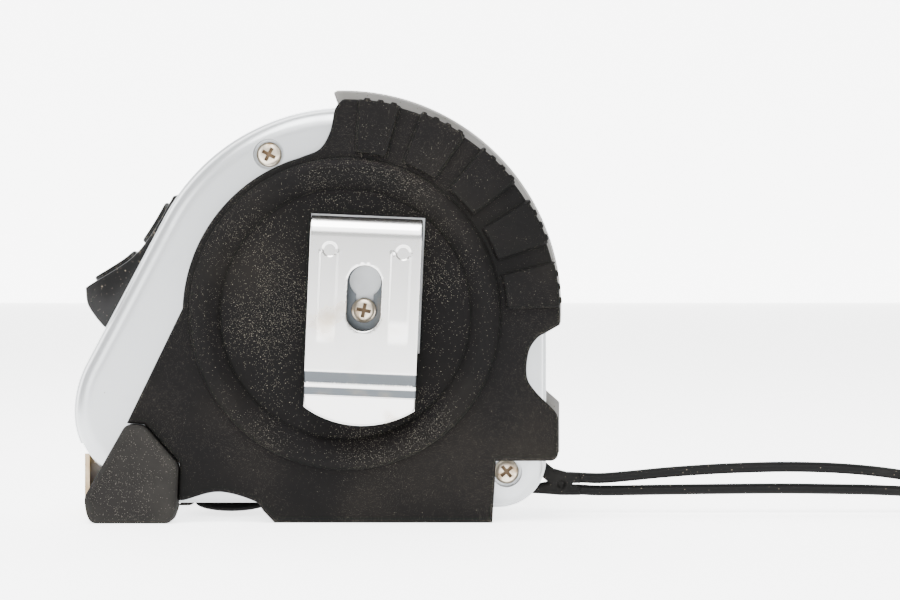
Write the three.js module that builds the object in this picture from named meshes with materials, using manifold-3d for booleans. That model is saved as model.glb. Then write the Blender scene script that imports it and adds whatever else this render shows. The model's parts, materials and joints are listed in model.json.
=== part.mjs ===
// Tape measure: a long, 25 mm wide spring-return blade in a two-part case with rubber grips,
// a thumb lock on the front slope, a finger brake underneath, a belt clip and a wrist strap.
//
// Millimetres, +Z up. The origin is on the surface that the case stands on, straight under
// the spindle, on the parting plane between the two halves of the case. The mouth looks
// towards -X and the belt clip is on the -Y side.

import * as THREE from "three";
import { mergeVertices } from "three/addons/utils/BufferGeometryUtils.js";
import Module from "manifold-3d";

const wasm = await Module();
wasm.setup();

// ---- driving dimensions -----------------------------------------------------------------

// Case
const HUB_HEIGHT = 34.5; // spindle axis above the rest face
const CASE_RADIUS = 34.6; // bright round front, about the spindle
const SEAT_DEPTH = 2.0; // how far the back drops to seat the rubber and the spine
const REAR_SETBACK = 1.2; // rear wall, inside the round front's radius
const REAR_CORNER_RADIUS = 8.0;
const CASE_FLOOR = 2.1; // underside of the case above the rest face
const FRONT_TILT = 28; // degrees that the front slope's normal points above level
const NOSE_RADIUS = 18.0;
const NOSE_HEIGHT = 17.9;
const CHIN_RADIUS = 12.5;
const MOUTH_HEIGHT = 8.8; // lower end of the chin's curve
const MOUTH_TOP = 12.8; // top edge of the blade opening
const MOUTH_DEPTH = 5.2; // how far the opening is cut back from the front wall
const MOUTH_STEP = 0.7; // the front wall stands back from the end of the chin's curve
const WALL = 1.9;
const EDGE_ROUND = 3.0; // round between a side face and the rim
const SEAM_GAP = 0.05; // each half stops this far from the parting plane
const SEAT_START = 92.5; // degrees: where the rubber's seat starts at the top
const SEAT_END = -4.5; // degrees: where it stops above the waist

// Blade and mechanism
const BLADE_LENGTH = 5000;
const BLADE_WIDTH = 25;
const BLADE_THICKNESS = 0.2;
const BLADE_SIDE_CLEARANCE = 0.75;
const WOUND_PITCH = 0.2; // blade and coating, as wound
const BLADE_HEIGHT = 9.5; // underside of the blade's middle at the mouth
const BLADE_CUP = 2.0; // how far the edges curl up at the hook
const BLADE_STRAIGHT = 23; // straight run inside, back from the front wall to the lead
const SPINDLE_RADIUS = 5.6;
const DRUM_RADIUS = 12.5;
const DRUM_WALL = 0.9;
const DRUM_WEB = 1.0;
const RUNNING_CLEARANCE = 0.2;
const SPRING_TURNS = 5;
const SPRING_STEPS = 18; // flats in each turn
const SPRING_THICKNESS = 0.3;

// End hook
const HOOK_REACH = 2.9; // outer face of the plate, ahead of the front wall
const HOOK_THICKNESS = 0.8;
const HOOK_WIDTH = BLADE_WIDTH - 2;
const HOOK_BOTTOM = 0.7;
const HOOK_TONGUE = 10; // tongue under the blade
const HOOK_FLOAT = 0.8; // how far the hook slides on its rivets
const RIVET_RADIUS = 0.9;
const RIVET_HEAD_RADIUS = 1.6;
const RIVET_HEAD_HEIGHT = 0.4;
const MIDDLE_RIVET_BACK = 7.7; // behind the hook's outer face
const SIDE_RIVET_BACK = 4.5;
const SIDE_RIVET_Y = BLADE_WIDTH / 5;

// Thumb lock, measured along the front slope from where it meets the round front
const LOCK_HALF_WIDTH = 7.5;
const LOCK_TOP = 4.3;
const LOCK_BOTTOM = -21.4;
const LOCK_TIP = -17.0;
const LOCK_HEIGHT = 6.8;
const LOCK_GAP = 0.3;
const LOCK_TRAVEL = 8;
const STEM_HALF_WIDTH = 2.0;
const STEM_TOP = -12;
const TONGUE_HALF_WIDTH = 3;
const TONGUE_THICKNESS = 0.8;

// Finger brake
const BRAKE_BACK = 20.7; // its centre, behind the front wall
const BRAKE_RADIUS = 6.4;
const BRAKE_BOTTOM = 0.4;
const BRAKE_DEPTH = 2.1; // of the dome and its rim
const BRAKE_TRAVEL = 1.4;
const BRAKE_SPRING_CLOSED = 2.3; // its height when the brake is pressed home
const BRAKE_ARCH_RISE = 1.0; // the case's floor stands higher round the brake
const BRAKE_ARCH_HALF = 8.4;
const BRAKE_STEM_RADIUS = 1.6;
const BRAKE_PAD_RADIUS = 3.6;
const BRAKE_PAD_HEIGHT = 0.6;
const WELL_WEB = 1.0; // floor of the case over the well, which the stem passes
const WELL_WALL = 1.2;
const BRAKE_CLEARANCE = 0.4;

// Rubber grips and the spine between them
const GRIP_THICKNESS = 1.9;
const GRIP_PROUD = 0.9; // beyond the round front's radius, at the back
const RING_RADIUS = CASE_RADIUS - 8.9;
const RING_INNER_RADIUS = RING_RADIUS - 4.9;
const RING_HEIGHT = 1.5; // above the grip's face
const DISH_DEPTH = 0.6;
const PAD_HEIGHT = 0.8;
const PAD_ANGLES = [[75.0, 86.5], [55.9, 69.2], [37.5, 50.4], [19.1, 31.9], [1.8, 14.0]];
const SPINE_HALF_WIDTH = 6.2;
const SPINE_PROUD = 2.7; // crown beyond the round front, halfway round
const SPINE_LEAN = 0.9; // the crown stands higher at the top and lower at the rear
const FIT_GAP = 0.1;
const FOOT_THICKNESS = 3.4;
const FOOT_LEAD = 2.0; // the feet's front point, ahead of the front wall
const SOLE_BACK = 31.5; // front of the sole across the case, behind the feet's front point
const GRIP_FLOOR_GAP = 3.7; // underside of the grip beside the foot and over the arch

// Belt clip, in its own frame: the origin is its screw
const CLIP_X = 3.1;
const CLIP_Z = 35.1;
const CLIP_TILT = 2.4; // degrees
const CLIP_WIDTH = 18.3;
const CLIP_THICKNESS = 0.8;
const CLIP_TOP = RING_INNER_RADIUS - 5.5;
const CLIP_BEND_RADIUS = 2.7;
const CLIP_PINCH_HEIGHT = -10.3; // where the leg starts to lean to the case
const CLIP_PINCH = 1.9; // how far it leans in
const CLIP_LIP = -18.9;
const CLIP_LIP_RADIUS = 15.9;
const CLIP_BASE_BOTTOM = -6.5;
const CLIP_SLOT = { width: 5.6, bottom: CLIP_TOP - 18.7, top: CLIP_TOP - 8, offset: 0.1 };
const KEYHOLE = { radius: 2.6, height: 4.8, neck: 1.45 };
const POCKET_HEADROOM = 0.4; // over the bend, which swings to the case as the clip opens

// Screws
const SCREW_RADIUS = 1.1;
const SCREW_HEAD_RADIUS = 2.05;
const SCREW_HEAD_HEIGHT = 1.3;
const SCREW_SINK = 0.5; // how deep the heads lie under the side face
const SCREW_CLEARANCE = 0.15;
const RECESS_RADIUS = 2.5;
const BOSS_RADIUS = 3.2;
const REAR_BOSS_RADIUS = 2.4;
const UPPER_SCREW_INSET = 5.17; // inside the round front, on the radius at the angle below
const UPPER_SCREW_ANGLE = 115.8; // degrees
const REAR_SCREW_INSET = 6.7; // ahead of the rear wall
const REAR_SCREW_HEIGHT = 8.3;
const CLIP_SCREW_LENGTH = 22;
const CASE_SCREW_LENGTH = 24;
const CROSS_HALF_WIDTH = 0.28;
const CROSS_DEPTH = 0.7;

// Wrist strap
const STRAP_WIDTH = 1.8; // one strand
const STRAP_HALF_DEPTH = 1.1;
const STRAP_EYE_RADIUS = 2.7;
const STRAP_SLOT_CLEARANCE = 0.3;
const STRAP_STUB = 6.1; // end of the yoke, behind the rear wall
const STRAP_UPPER_Z = 6.08;
const STRAP_LOWER_Z = 4.0;
const STRAP_JOINT_GAP = 0.3; // between the yoke and the free loop

// The strap's free loop, from the yoke's end: out along the upper strand, round on the
// surface that the case stands on, and back along the lower strand.
const STRAP_ROUTE = [
  [0, 0, 6.08], [3.7, 0, 6], [8.2, 0, 6.35], [14.6, 0, 6.97], [21.2, 0, 7.45],
  [27.2, 0, 7.75], [35.6, 0, 7.95], [43.9, 0, 7.75], [51.2, 0.2, 7.15], [58.2, 1.1, 6.1],
  [66.2, 3, 4.6], [75.2, 5.6, 2.9], [84.2, 8, 1.6], [93.2, 9.8, 1.05], [102.2, 10.4, 0.95],
  [110.2, 9, 0.95], [116.7, 4.6, 0.95], [118.6, 0, 0.95], [116.7, -4.6, 0.95],
  [110.2, -8.7, 0.95], [102.2, -9.6, 0.95], [93.2, -8.4, 1], [84.2, -6, 1.3],
  [75.2, -3.5, 2], [66.2, -1.5, 2.85], [58.2, -0.4, 3.6], [51.2, 0, 3.95], [43.9, 0, 4.1],
  [35.6, 0, 4.2], [27.2, 0, 4.15], [14.6, 0, 4], [4.2, 0, 3.85], [0, 0, 4],
];

// ---- derived sizes ----------------------------------------------------------------------

const RAD = Math.PI / 180;
const HALF_WIDTH = BLADE_WIDTH / 2 + BLADE_SIDE_CLEARANCE + WALL; // case side faces
const INNER_HALF = HALF_WIDTH - WALL;
const GRIP_FACE = HALF_WIDTH + GRIP_THICKNESS;
const REAR_WALL = CASE_RADIUS - REAR_SETBACK;
const COIL_INNER = DRUM_RADIUS + RUNNING_CLEARANCE;
const COIL_OUTER = Math.sqrt(COIL_INNER ** 2 + (BLADE_LENGTH * WOUND_PITCH) / Math.PI);
const SLOPE_NORMAL = new THREE.Vector2(-Math.cos(FRONT_TILT * RAD), Math.sin(FRONT_TILT * RAD));
const SLOPE_TOP = new THREE.Vector2(0, HUB_HEIGHT).addScaledVector(SLOPE_NORMAL, CASE_RADIUS);

// The nose circle touches the front slope, which fixes how far forward it stands.
const NOSE_X = (CASE_RADIUS - NOSE_RADIUS - (NOSE_HEIGHT - HUB_HEIGHT) * SLOPE_NORMAL.y)
  / SLOPE_NORMAL.x;
const CHIN_X = NOSE_X - NOSE_RADIUS + CHIN_RADIUS;
const CHIN_END = 180 + Math.asin((NOSE_HEIGHT - MOUTH_HEIGHT) / CHIN_RADIUS) / RAD;
const FRONT_WALL = CHIN_X + CHIN_RADIUS * Math.cos(CHIN_END * RAD) + MOUTH_STEP;
const HOOK_FRONT = FRONT_WALL - HOOK_REACH;
const FOOT_FRONT = FRONT_WALL - FOOT_LEAD;
const BLADE_BEND_X = FRONT_WALL + BLADE_STRAIGHT;
const BRAKE_X = FRONT_WALL + BRAKE_BACK;
const GRIP_BACK_RADIUS = CASE_RADIUS + GRIP_PROUD;
const BRAKE_TOP = BRAKE_BOTTOM + BRAKE_DEPTH;
const WELL_CEILING = BRAKE_TOP + BRAKE_TRAVEL + BRAKE_SPRING_CLOSED;
const WELL_TOP = WELL_CEILING + WELL_WEB;
const PAD_LOW = WELL_TOP + FIT_GAP; // underside of the brake's pad
const STRAP_STUB_X = REAR_WALL + STRAP_STUB;
const RIVETS = [
  [HOOK_FRONT + MIDDLE_RIVET_BACK, 0],
  [HOOK_FRONT + SIDE_RIVET_BACK, -SIDE_RIVET_Y],
  [HOOK_FRONT + SIDE_RIVET_BACK, SIDE_RIVET_Y],
];
const UPPER_SCREW = [
  (CASE_RADIUS - UPPER_SCREW_INSET) * Math.cos(UPPER_SCREW_ANGLE * RAD),
  HUB_HEIGHT + (CASE_RADIUS - UPPER_SCREW_INSET) * Math.sin(UPPER_SCREW_ANGLE * RAD),
];
const REAR_SCREW = [REAR_WALL - REAR_SCREW_INSET, REAR_SCREW_HEIGHT];
const SCREW_BORE = SCREW_RADIUS + SCREW_CLEARANCE;
const MOUTH_HALF = INNER_HALF - RUNNING_CLEARANCE; // half the width of the opening
const CLIP_BASE_Y = -(HALF_WIDTH + LOCK_GAP + CLIP_THICKNESS / 2); // middle of its metal
const CLIP_BEND_Z = CLIP_TOP - CLIP_BEND_RADIUS - CLIP_THICKNESS / 2; // foot of the bend
const BEYOND = 100; // cutting tools reach this far, past every piece

// ---- shape helpers ----------------------------------------------------------------------

/** Points along an arc in the XZ plane, from angle a to angle b in degrees, both included. */
function arc(x, z, radius, a, b, steps) {
  const points = [];
  for (let i = 0; i <= steps; i += 1) {
    const angle = (a + ((b - a) * i) / steps) * RAD;
    points.push(new THREE.Vector2(x + radius * Math.cos(angle), z + radius * Math.sin(angle)));
  }
  return points;
}

/** A smooth run of points through the given [x, z] pairs. */
function smooth(pairs, steps) {
  return new THREE.SplineCurve(pairs.map(([x, z]) => new THREE.Vector2(x, z))).getPoints(steps);
}

/** A closed mesh as a solid that can be joined and cut, its faces turned outward. */
function toSolid(geometry) {
  const plain = new THREE.BufferGeometry();
  plain.setAttribute("position", geometry.getAttribute("position").clone());
  if (geometry.index) plain.setIndex(geometry.index.clone());
  const merged = mergeVertices(plain, 1e-5);
  const vertProperties = new Float32Array(merged.getAttribute("position").array);
  const triVerts = new Uint32Array(merged.index.array);
  const solid = new wasm.Manifold(new wasm.Mesh({ numProp: 3, vertProperties, triVerts }));
  if (solid.volume() > 0) return solid;
  for (let i = 0; i < triVerts.length; i += 3) {
    [triVerts[i], triVerts[i + 1]] = [triVerts[i + 1], triVerts[i]];
  }
  return new wasm.Manifold(new wasm.Mesh({ numProp: 3, vertProperties, triVerts }));
}

/** A solid back as a three.js geometry. */
function toGeometry(solid) {
  const mesh = solid.getMesh();
  const geometry = new THREE.BufferGeometry();
  const positions = new Float32Array(mesh.vertProperties);
  geometry.setAttribute("position", new THREE.BufferAttribute(positions, 3));
  geometry.setIndex(new THREE.BufferAttribute(new Uint32Array(mesh.triVerts), 1));
  geometry.computeVertexNormals();
  return geometry;
}

/** An outline in the XZ plane drawn out along Y. */
function prism(points, y0, y1, holes = []) {
  const shape = new THREE.Shape(points);
  shape.holes = holes.map((hole) => new THREE.Path(hole));
  const geometry = new THREE.ExtrudeGeometry(shape, { depth: y1 - y0, bevelEnabled: false });
  return toSolid(geometry.rotateX(Math.PI / 2).translate(0, y1, 0));
}

/** An upright box given by its low and high corners. */
function box(low, high) {
  const size = high.map((value, i) => value - low[i]);
  const geometry = new THREE.BoxGeometry(...size);
  return toSolid(geometry.translate(...low.map((value, i) => value + size[i] / 2)));
}

/** A cylinder along Y through [x, z]. */
function rod([x, z], radius, y0, y1, sides = 24) {
  const geometry = new THREE.CylinderGeometry(radius, radius, y1 - y0, sides);
  return toSolid(geometry.translate(x, (y0 + y1) / 2, z));
}

/** A cylinder along Z through [x, y]. */
function post([x, y], radius, z0, z1, sides = 24) {
  const geometry = new THREE.CylinderGeometry(radius, radius, z1 - z0, sides);
  return toSolid(geometry.rotateX(Math.PI / 2).translate(x, y, (z0 + z1) / 2));
}

/** A profile of [radius, y] pairs turned about the Y axis through [x, z]. */
function turned(profile, [x, z], sides) {
  const points = profile.map(([radius, y]) => new THREE.Vector2(radius, y));
  return toSolid(new THREE.LatheGeometry(points, sides).translate(x, 0, z));
}

/** The outline of a strip of even thickness that follows a line of Vector2 points. */
function stripOutline(line, thickness) {
  const sides = [[], []];
  line.forEach((point, i) => {
    const before = line[Math.max(i - 1, 0)];
    const after = line[Math.min(i + 1, line.length - 1)];
    const into = point.clone().sub(before).normalize();
    const out = after.clone().sub(point).normalize();
    const along = into.clone().add(out).normalize();
    const miter = 1 / Math.max(along.dot(i === 0 ? out : into), 0.5);
    const across = new THREE.Vector2(-along.y, along.x).multiplyScalar((thickness / 2) * miter);
    sides[0].push(point.clone().add(across));
    sides[1].unshift(point.clone().sub(across));
  });
  return [...sides[1], ...sides[0]];
}

/** Rings of points with equal counts, joined in order into one closed solid. */
function loft(rings) {
  const count = rings[0].length;
  const positions = rings.flat().flatMap((p) => [p.x, p.y, p.z]);
  const index = [];
  for (let r = 0; r + 1 < rings.length; r += 1) {
    for (let i = 0; i < count; i += 1) {
      const a = r * count + i;
      const b = r * count + ((i + 1) % count);
      index.push(a, b, a + count, b, b + count, a + count);
    }
  }
  const across = rings[0].every((p) => p.x === rings[0][0].x); // the rings lie in YZ planes
  const flat = (ring) => ring.map((p) => new THREE.Vector2(across ? p.y : p.x, p.z));
  const first = THREE.ShapeUtils.triangulateShape(flat(rings[0]), []);
  const last = THREE.ShapeUtils.triangulateShape(flat(rings[rings.length - 1]), []);
  const offset = (rings.length - 1) * count;
  first.forEach(([a, b, c]) => index.push(a, c, b));
  last.forEach(([a, b, c]) => index.push(a + offset, b + offset, c + offset));
  const geometry = new THREE.BufferGeometry();
  geometry.setAttribute("position", new THREE.Float32BufferAttribute(positions, 3));
  geometry.setIndex(index);
  return toSolid(geometry);
}

// ---- frames -----------------------------------------------------------------------------

// On the slope, -X is straight out of the case and +Z runs up the slope.
const slopeFrame = new THREE.Matrix4().makeRotationY(FRONT_TILT * RAD)
  .setPosition(SLOPE_TOP.x, 0, SLOPE_TOP.y);
const clipFrame = new THREE.Matrix4().makeRotationY(CLIP_TILT * RAD).setPosition(CLIP_X, 0, CLIP_Z);

/** A cutting tool drawn in a turned frame, in the model's frame. */
function placed(solid, frame) {
  return toSolid(toGeometry(solid).applyMatrix4(frame));
}

// ---- case -------------------------------------------------------------------------------

/** The case's outline, moved inward by inset, always with the same number of points. */
function caseOutline(inset) {
  const seat = CASE_RADIUS - SEAT_DEPTH - inset;
  const front = CASE_RADIUS - inset;
  const cornerX = REAR_WALL - REAR_CORNER_RADIUS;
  const cornerZ = CASE_FLOOR + REAR_CORNER_RADIUS;
  const seatEndZ = HUB_HEIGHT + (CASE_RADIUS - SEAT_DEPTH) * Math.sin(SEAT_END * RAD);
  const seatEnd = Math.asin((seatEndZ - HUB_HEIGHT) / seat) / RAD;
  const slope = 180 - FRONT_TILT;
  return [
    new THREE.Vector2(FRONT_WALL + inset, CASE_FLOOR + inset),
    ...arc(cornerX, cornerZ, REAR_CORNER_RADIUS - inset, -90, 0, 6),
    new THREE.Vector2(REAR_WALL - inset, seatEndZ),
    ...arc(0, HUB_HEIGHT, seat, seatEnd, SEAT_START, 22),
    ...arc(0, HUB_HEIGHT, front, SEAT_START, slope, 14),
    ...arc(NOSE_X, NOSE_HEIGHT, NOSE_RADIUS - inset, slope, 180, 5).slice(0, -1),
    ...arc(CHIN_X, NOSE_HEIGHT, CHIN_RADIUS - inset, 180, CHIN_END, 5),
  ];
}

/** The case's outline stacked along Y on one side, grown by a clearance. */
function caseBlock(side, grow, from) {
  const steps = 3;
  const layers = [[from, -grow]];
  for (let i = steps; i >= 0; i -= 1) {
    const angle = (i / steps) * 90 * RAD;
    const inset = EDGE_ROUND * (1 - Math.sin(angle)) - grow;
    layers.push([HALF_WIDTH + grow - EDGE_ROUND * (1 - Math.cos(angle)), inset]);
  }
  return loft(layers.map(([y, inset]) => (
    caseOutline(inset).map((p) => new THREE.Vector3(p.x, side * y, p.y))
  )));
}

/** Where a screw head of a given side sits. */
function screwRecess(place, side) {
  return rod(place, RECESS_RADIUS, ...span(side, HALF_WIDTH - SCREW_SINK - SCREW_HEAD_HEIGHT,
    HALF_WIDTH + 1), 28);
}

/** A Y range on one side, from the inner to the outer distance, low end first. */
function span(side, inner, outer) {
  return side < 0 ? [-outer, -inner] : [inner, outer];
}

/** One half of the case: -1 is the clip side, which takes the screw heads; 1 is the plain side. */
function caseHalf(side) {
  let half = caseBlock(side, 0, SEAM_GAP);
  const cavity = prism(caseOutline(WALL), ...span(side, -1, INNER_HALF));
  half = half.subtract(cavity);

  // screw bosses reach from the side wall to the seam
  const bosses = [[UPPER_SCREW, BOSS_RADIUS], [REAR_SCREW, REAR_BOSS_RADIUS]];
  for (const [place, radius] of bosses) {
    const boss = rod(place, radius, ...span(side, SEAM_GAP, INNER_HALF + WALL / 2));
    half = half.add(boss.intersect(caseBlock(side, -WALL / 2, SEAM_GAP)));
  }

  // the finger brake's well, open below
  const wellRadius = BRAKE_RADIUS + BRAKE_CLEARANCE;
  const stemRadius = BRAKE_STEM_RADIUS + BRAKE_CLEARANCE;
  const [near, far] = span(side, SEAM_GAP, BEYOND);
  const ownSide = box([-BEYOND, near, -BEYOND], [BEYOND, far, BEYOND]);
  const well = post([BRAKE_X, 0], wellRadius + WELL_WALL, CASE_FLOOR + WALL / 2, WELL_TOP, 32);
  half = half.add(well.intersect(ownSide));
  half = half.subtract(box([BRAKE_X - BRAKE_ARCH_HALF, -BEYOND, -1],
    [BRAKE_X + BRAKE_ARCH_HALF, BEYOND, CASE_FLOOR + BRAKE_ARCH_RISE]));
  half = half.subtract(post([BRAKE_X, 0], wellRadius, -1, WELL_CEILING, 32));
  half = half.subtract(post([BRAKE_X, 0], stemRadius, 0, WELL_TOP + 1, 24));

  // the mouth, the lock's slot and the strap's slot
  half = half.subtract(box([-BEYOND, -MOUTH_HALF, -1],
    [FRONT_WALL + MOUTH_DEPTH, MOUTH_HALF, MOUTH_TOP]));
  const slotSide = STEM_HALF_WIDTH + LOCK_GAP;
  const lockSlot = box([-2, -slotSide, LOCK_BOTTOM - LOCK_GAP],
    [WALL + 1, slotSide, STEM_TOP + LOCK_TRAVEL + LOCK_GAP]);
  half = half.subtract(placed(lockSlot, slopeFrame));
  half = half.subtract(strapSlot(side));

  // screws: clearance holes and head recesses on the clip side, blind holes on the other
  const depth = side < 0 ? HALF_WIDTH + 1 : INNER_HALF - 2;
  for (const place of [UPPER_SCREW, REAR_SCREW]) {
    half = half.subtract(rod(place, SCREW_BORE, ...span(side, -1, depth)));
    if (side < 0) half = half.subtract(screwRecess(place, side));
  }
  if (side < 0) half = half.subtract(rod([CLIP_X, CLIP_Z], SCREW_BORE, -HALF_WIDTH - 1, 0));
  return toGeometry(half);
}

/** The room that the strap's eye and arms take in one half. */
function strapSlot(side) {
  const reach = STRAP_HALF_DEPTH + STRAP_SLOT_CLEARANCE;
  const [x, z] = REAR_SCREW;
  const outer = STRAP_EYE_RADIUS + STRAP_WIDTH + STRAP_SLOT_CLEARANCE;
  const round = rod(REAR_SCREW, outer, ...span(side, -0.5, reach), 28);
  const [near, far] = span(side, -0.5, reach);
  const open = box([x, near, z - outer], [REAR_WALL + 2, far, z + outer]);
  return round.add(open).subtract(rod(REAR_SCREW, REAR_BOSS_RADIUS, -reach - 1, reach + 1));
}

/** The black lip under the blade between the two feet. */
function mouthLip() {
  const half = MOUTH_HALF - FIT_GAP;
  const back = FRONT_WALL + MOUTH_DEPTH - FIT_GAP;
  const front = FRONT_WALL - 0.6;
  const top = BLADE_HEIGHT - HOOK_THICKNESS - RIVET_HEAD_HEIGHT - RUNNING_CLEARANCE;
  const outline = [
    new THREE.Vector2(front + 0.8, 0.3), new THREE.Vector2(back, 0.3),
    new THREE.Vector2(back, top), new THREE.Vector2(front + 0.9, top),
    ...arc(front + 0.9, top - 0.9, 0.9, 90, 180, 4).slice(1),
    new THREE.Vector2(front, 1.1),
  ];
  return toGeometry(prism(outline, -half, half));
}

// ---- rubber -----------------------------------------------------------------------------

/** The front foot's outline: a house shape with a blunt top. */
function footOutline(gap) {
  const front = FOOT_FRONT - gap;
  return [
    new THREE.Vector2(front + 1.3, 0),
    new THREE.Vector2(front + 14.3 + gap * 2, 0),
    new THREE.Vector2(front + 15.2 + gap * 2, 2.4),
    new THREE.Vector2(front + 15.5 + gap * 2, 9.6 + gap / 2),
    new THREE.Vector2(front + 9.8 + gap, 16.1 + gap),
    new THREE.Vector2(front + 6.9 + gap, 16.3 + gap),
    new THREE.Vector2(front, 4.2),
    new THREE.Vector2(front + 0.5, 1.2),
  ];
}

/** A raised front foot, on the side of the case and round its lower front corner. */
function frontFoot(side) {
  const inner = MOUTH_HALF + FIT_GAP;
  const block = prism(footOutline(0), ...span(side, inner, HALF_WIDTH + FOOT_THICKNESS));
  return toGeometry(block.subtract(caseBlock(side, FIT_GAP, 0)));
}

/** The side outline of a rubber grip, counter-clockwise from beside the front foot. */
function gripOutline() {
  const footEdge = footOutline(FIT_GAP * 1.5);
  const archLeft = FOOT_FRONT + 16.2;
  const archRight = archLeft + 11.7;
  const base = REAR_SCREW[0] - REAR_BOSS_RADIUS; // the base stops short of the rear screw
  const bumper = CASE_RADIUS + 0.6;
  const shelf = REAR_SCREW[1] + 1.9;
  const beak = HUB_HEIGHT - 1.8;
  const ring = RING_RADIUS + 1.2;
  const waist = [
    [bumper, shelf + 7.1], [bumper - 0.7, shelf + 8.4], [bumper - 3.7, shelf + 11.4],
    [bumper - 5.2, shelf + 14.0], [bumper - 4.9, shelf + 18.0], [bumper - 3.5, shelf + 20.3],
    [bumper - 2.0, shelf + 21.2],
  ];
  const top = CASE_RADIUS + HUB_HEIGHT;
  const sweep = [
    [-0.4, top + 0.9], [-1.7, top - 0.7], [-2.5, top - 4.4], [-4.2, top - 7.3],
    [ring * Math.cos(106 * RAD), HUB_HEIGHT + ring * Math.sin(106 * RAD)],
  ];
  const beakAngle = Math.asin((beak - HUB_HEIGHT) / GRIP_BACK_RADIUS) / RAD;
  return [
    new THREE.Vector2(footEdge[2].x, GRIP_FLOOR_GAP),
    ...smooth([[archLeft, GRIP_FLOOR_GAP], [(archLeft + archRight) / 2, GRIP_FLOOR_GAP + 1.4],
      [archRight, GRIP_FLOOR_GAP - 0.1], [archRight + 1.6, 1.9], [archRight + 3.4, 0]], 12),
    new THREE.Vector2(base, 0), new THREE.Vector2(base + 0.6, shelf),
    ...arc(bumper - 1.3, shelf + 1.3, 1.3, -90, 0, 4),
    ...smooth(waist, 14),
    ...arc(0, HUB_HEIGHT, GRIP_BACK_RADIUS, beakAngle, 90.6, 22),
    ...smooth(sweep, 10).slice(1),
    ...arc(0, HUB_HEIGHT, ring, 110, 178, 12),
    footEdge[5].clone(),
    footEdge[4].clone(),
    footEdge[3].clone(),
  ];
}

/** A sector between two radii about the spindle. */
function sector(inner, outer, [from, to], steps) {
  return [
    ...arc(0, HUB_HEIGHT, outer, from, to, steps),
    ...arc(0, HUB_HEIGHT, inner, to, from, steps),
  ];
}

/** A rubber grip with its raised ring, shallow dish and radial pads. */
function grip(side) {
  const seam = SPINE_HALF_WIDTH + FIT_GAP;
  let rubber = prism(gripOutline(), ...span(side, seam, GRIP_FACE));
  const [near, far] = span(side, 0, HALF_WIDTH);
  const sole = box([FOOT_FRONT + SOLE_BACK, near, 0],
    [REAR_SCREW[0] - REAR_BOSS_RADIUS, far, CASE_FLOOR - FIT_GAP]);
  rubber = rubber.add(sole).subtract(caseBlock(side, FIT_GAP, -1));

  const face = side * GRIP_FACE;
  const under = side * (GRIP_FACE - 0.8);
  const top = side * (GRIP_FACE + RING_HEIGHT);
  const low = side * (GRIP_FACE + RING_HEIGHT * 0.55);
  const profile = [
    [RING_RADIUS, under], [RING_RADIUS, low], [RING_RADIUS - 1.2, top],
    [RING_INNER_RADIUS + 2.2, top], [RING_INNER_RADIUS, face], [RING_INNER_RADIUS, under],
    [RING_RADIUS, under],
  ];
  rubber = rubber.add(turned(profile, [0, HUB_HEIGHT], 44));
  for (const angles of PAD_ANGLES) {
    rubber = rubber.add(prism(sector(RING_RADIUS + 0.9, GRIP_BACK_RADIUS, angles, 3),
      ...span(side, GRIP_FACE - 0.5, GRIP_FACE + PAD_HEIGHT)));
  }
  rubber = rubber.subtract(rod([0, HUB_HEIGHT], RING_INNER_RADIUS,
    ...span(side, GRIP_FACE - DISH_DEPTH, GRIP_FACE + 5), 44));
  if (side < 0) {
    const room = LOCK_GAP + CLIP_WIDTH / 2;
    const pocket = box([-room, -GRIP_FACE - 2, CLIP_BASE_BOTTOM - LOCK_GAP],
      [room, -HALF_WIDTH + 2, CLIP_TOP + POCKET_HEADROOM]);
    rubber = rubber.subtract(placed(pocket, clipFrame).subtract(caseBlock(side, 0, 0)));
  }
  return toGeometry(rubber);
}

/** The upper spine: the warm grey strip over the back between the two grips. */
function spineUpper() {
  const seat = CASE_RADIUS - SEAT_DEPTH + FIT_GAP;
  const crown = CASE_RADIUS + SPINE_PROUD;
  const start = SEAT_START + 1.7;
  const step = SEAT_START - 0.4; // clear of the case's step down to the seat
  const end = SEAT_END + 1.5;
  const outline = [
    ...arc(-SPINE_LEAN, HUB_HEIGHT + SPINE_LEAN, crown, end - 1.4, start - 1.6, 26),
    ...smooth([[-2.75, HUB_HEIGHT + crown - 0.6], [-3.1, HUB_HEIGHT + crown - 1.6]], 2),
    ...arc(0, HUB_HEIGHT, CASE_RADIUS + FIT_GAP, start, step, 2),
    ...arc(0, HUB_HEIGHT, seat, step, end, 22),
  ];
  return toGeometry(prism(outline, -SPINE_HALF_WIDTH, SPINE_HALF_WIDTH));
}

/** The lower spine: a short strip down the rear between the bumpers. */
function spineLower() {
  const face = REAR_WALL + FIT_GAP;
  const outer = CASE_RADIUS + 1.3;
  const low = REAR_CORNER_RADIUS + CASE_FLOOR + 0.7;
  const high = low + 10.8;
  const outline = [
    new THREE.Vector2(face, low),
    new THREE.Vector2(outer - 0.8, low),
    new THREE.Vector2(outer, low + 0.8),
    new THREE.Vector2(outer, high - 1.6),
    new THREE.Vector2(outer - 0.6, high),
    new THREE.Vector2(face, high),
  ];
  return toGeometry(prism(outline, -SPINE_HALF_WIDTH, SPINE_HALF_WIDTH));
}

// ---- mechanism --------------------------------------------------------------------------

/** The fixed spindle, slotted for the spring's inner end and bored for the clip's screw. */
function spindle() {
  const half = INNER_HALF - FIT_GAP;
  let shaft = rod([0, 0], SPINDLE_RADIUS, -half, half, 36);
  shaft = shaft.subtract(box([-SPINDLE_RADIUS - 1, -half + 3, -SPRING_THICKNESS - FIT_GAP],
    [-SPINDLE_RADIUS + 2.2, half + 1, SPRING_THICKNESS + FIT_GAP]));
  const place = [CLIP_X, CLIP_Z - HUB_HEIGHT];
  return toGeometry(shaft.subtract(rod(place, SCREW_BORE, -half - 1, half - 6)));
}

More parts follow.
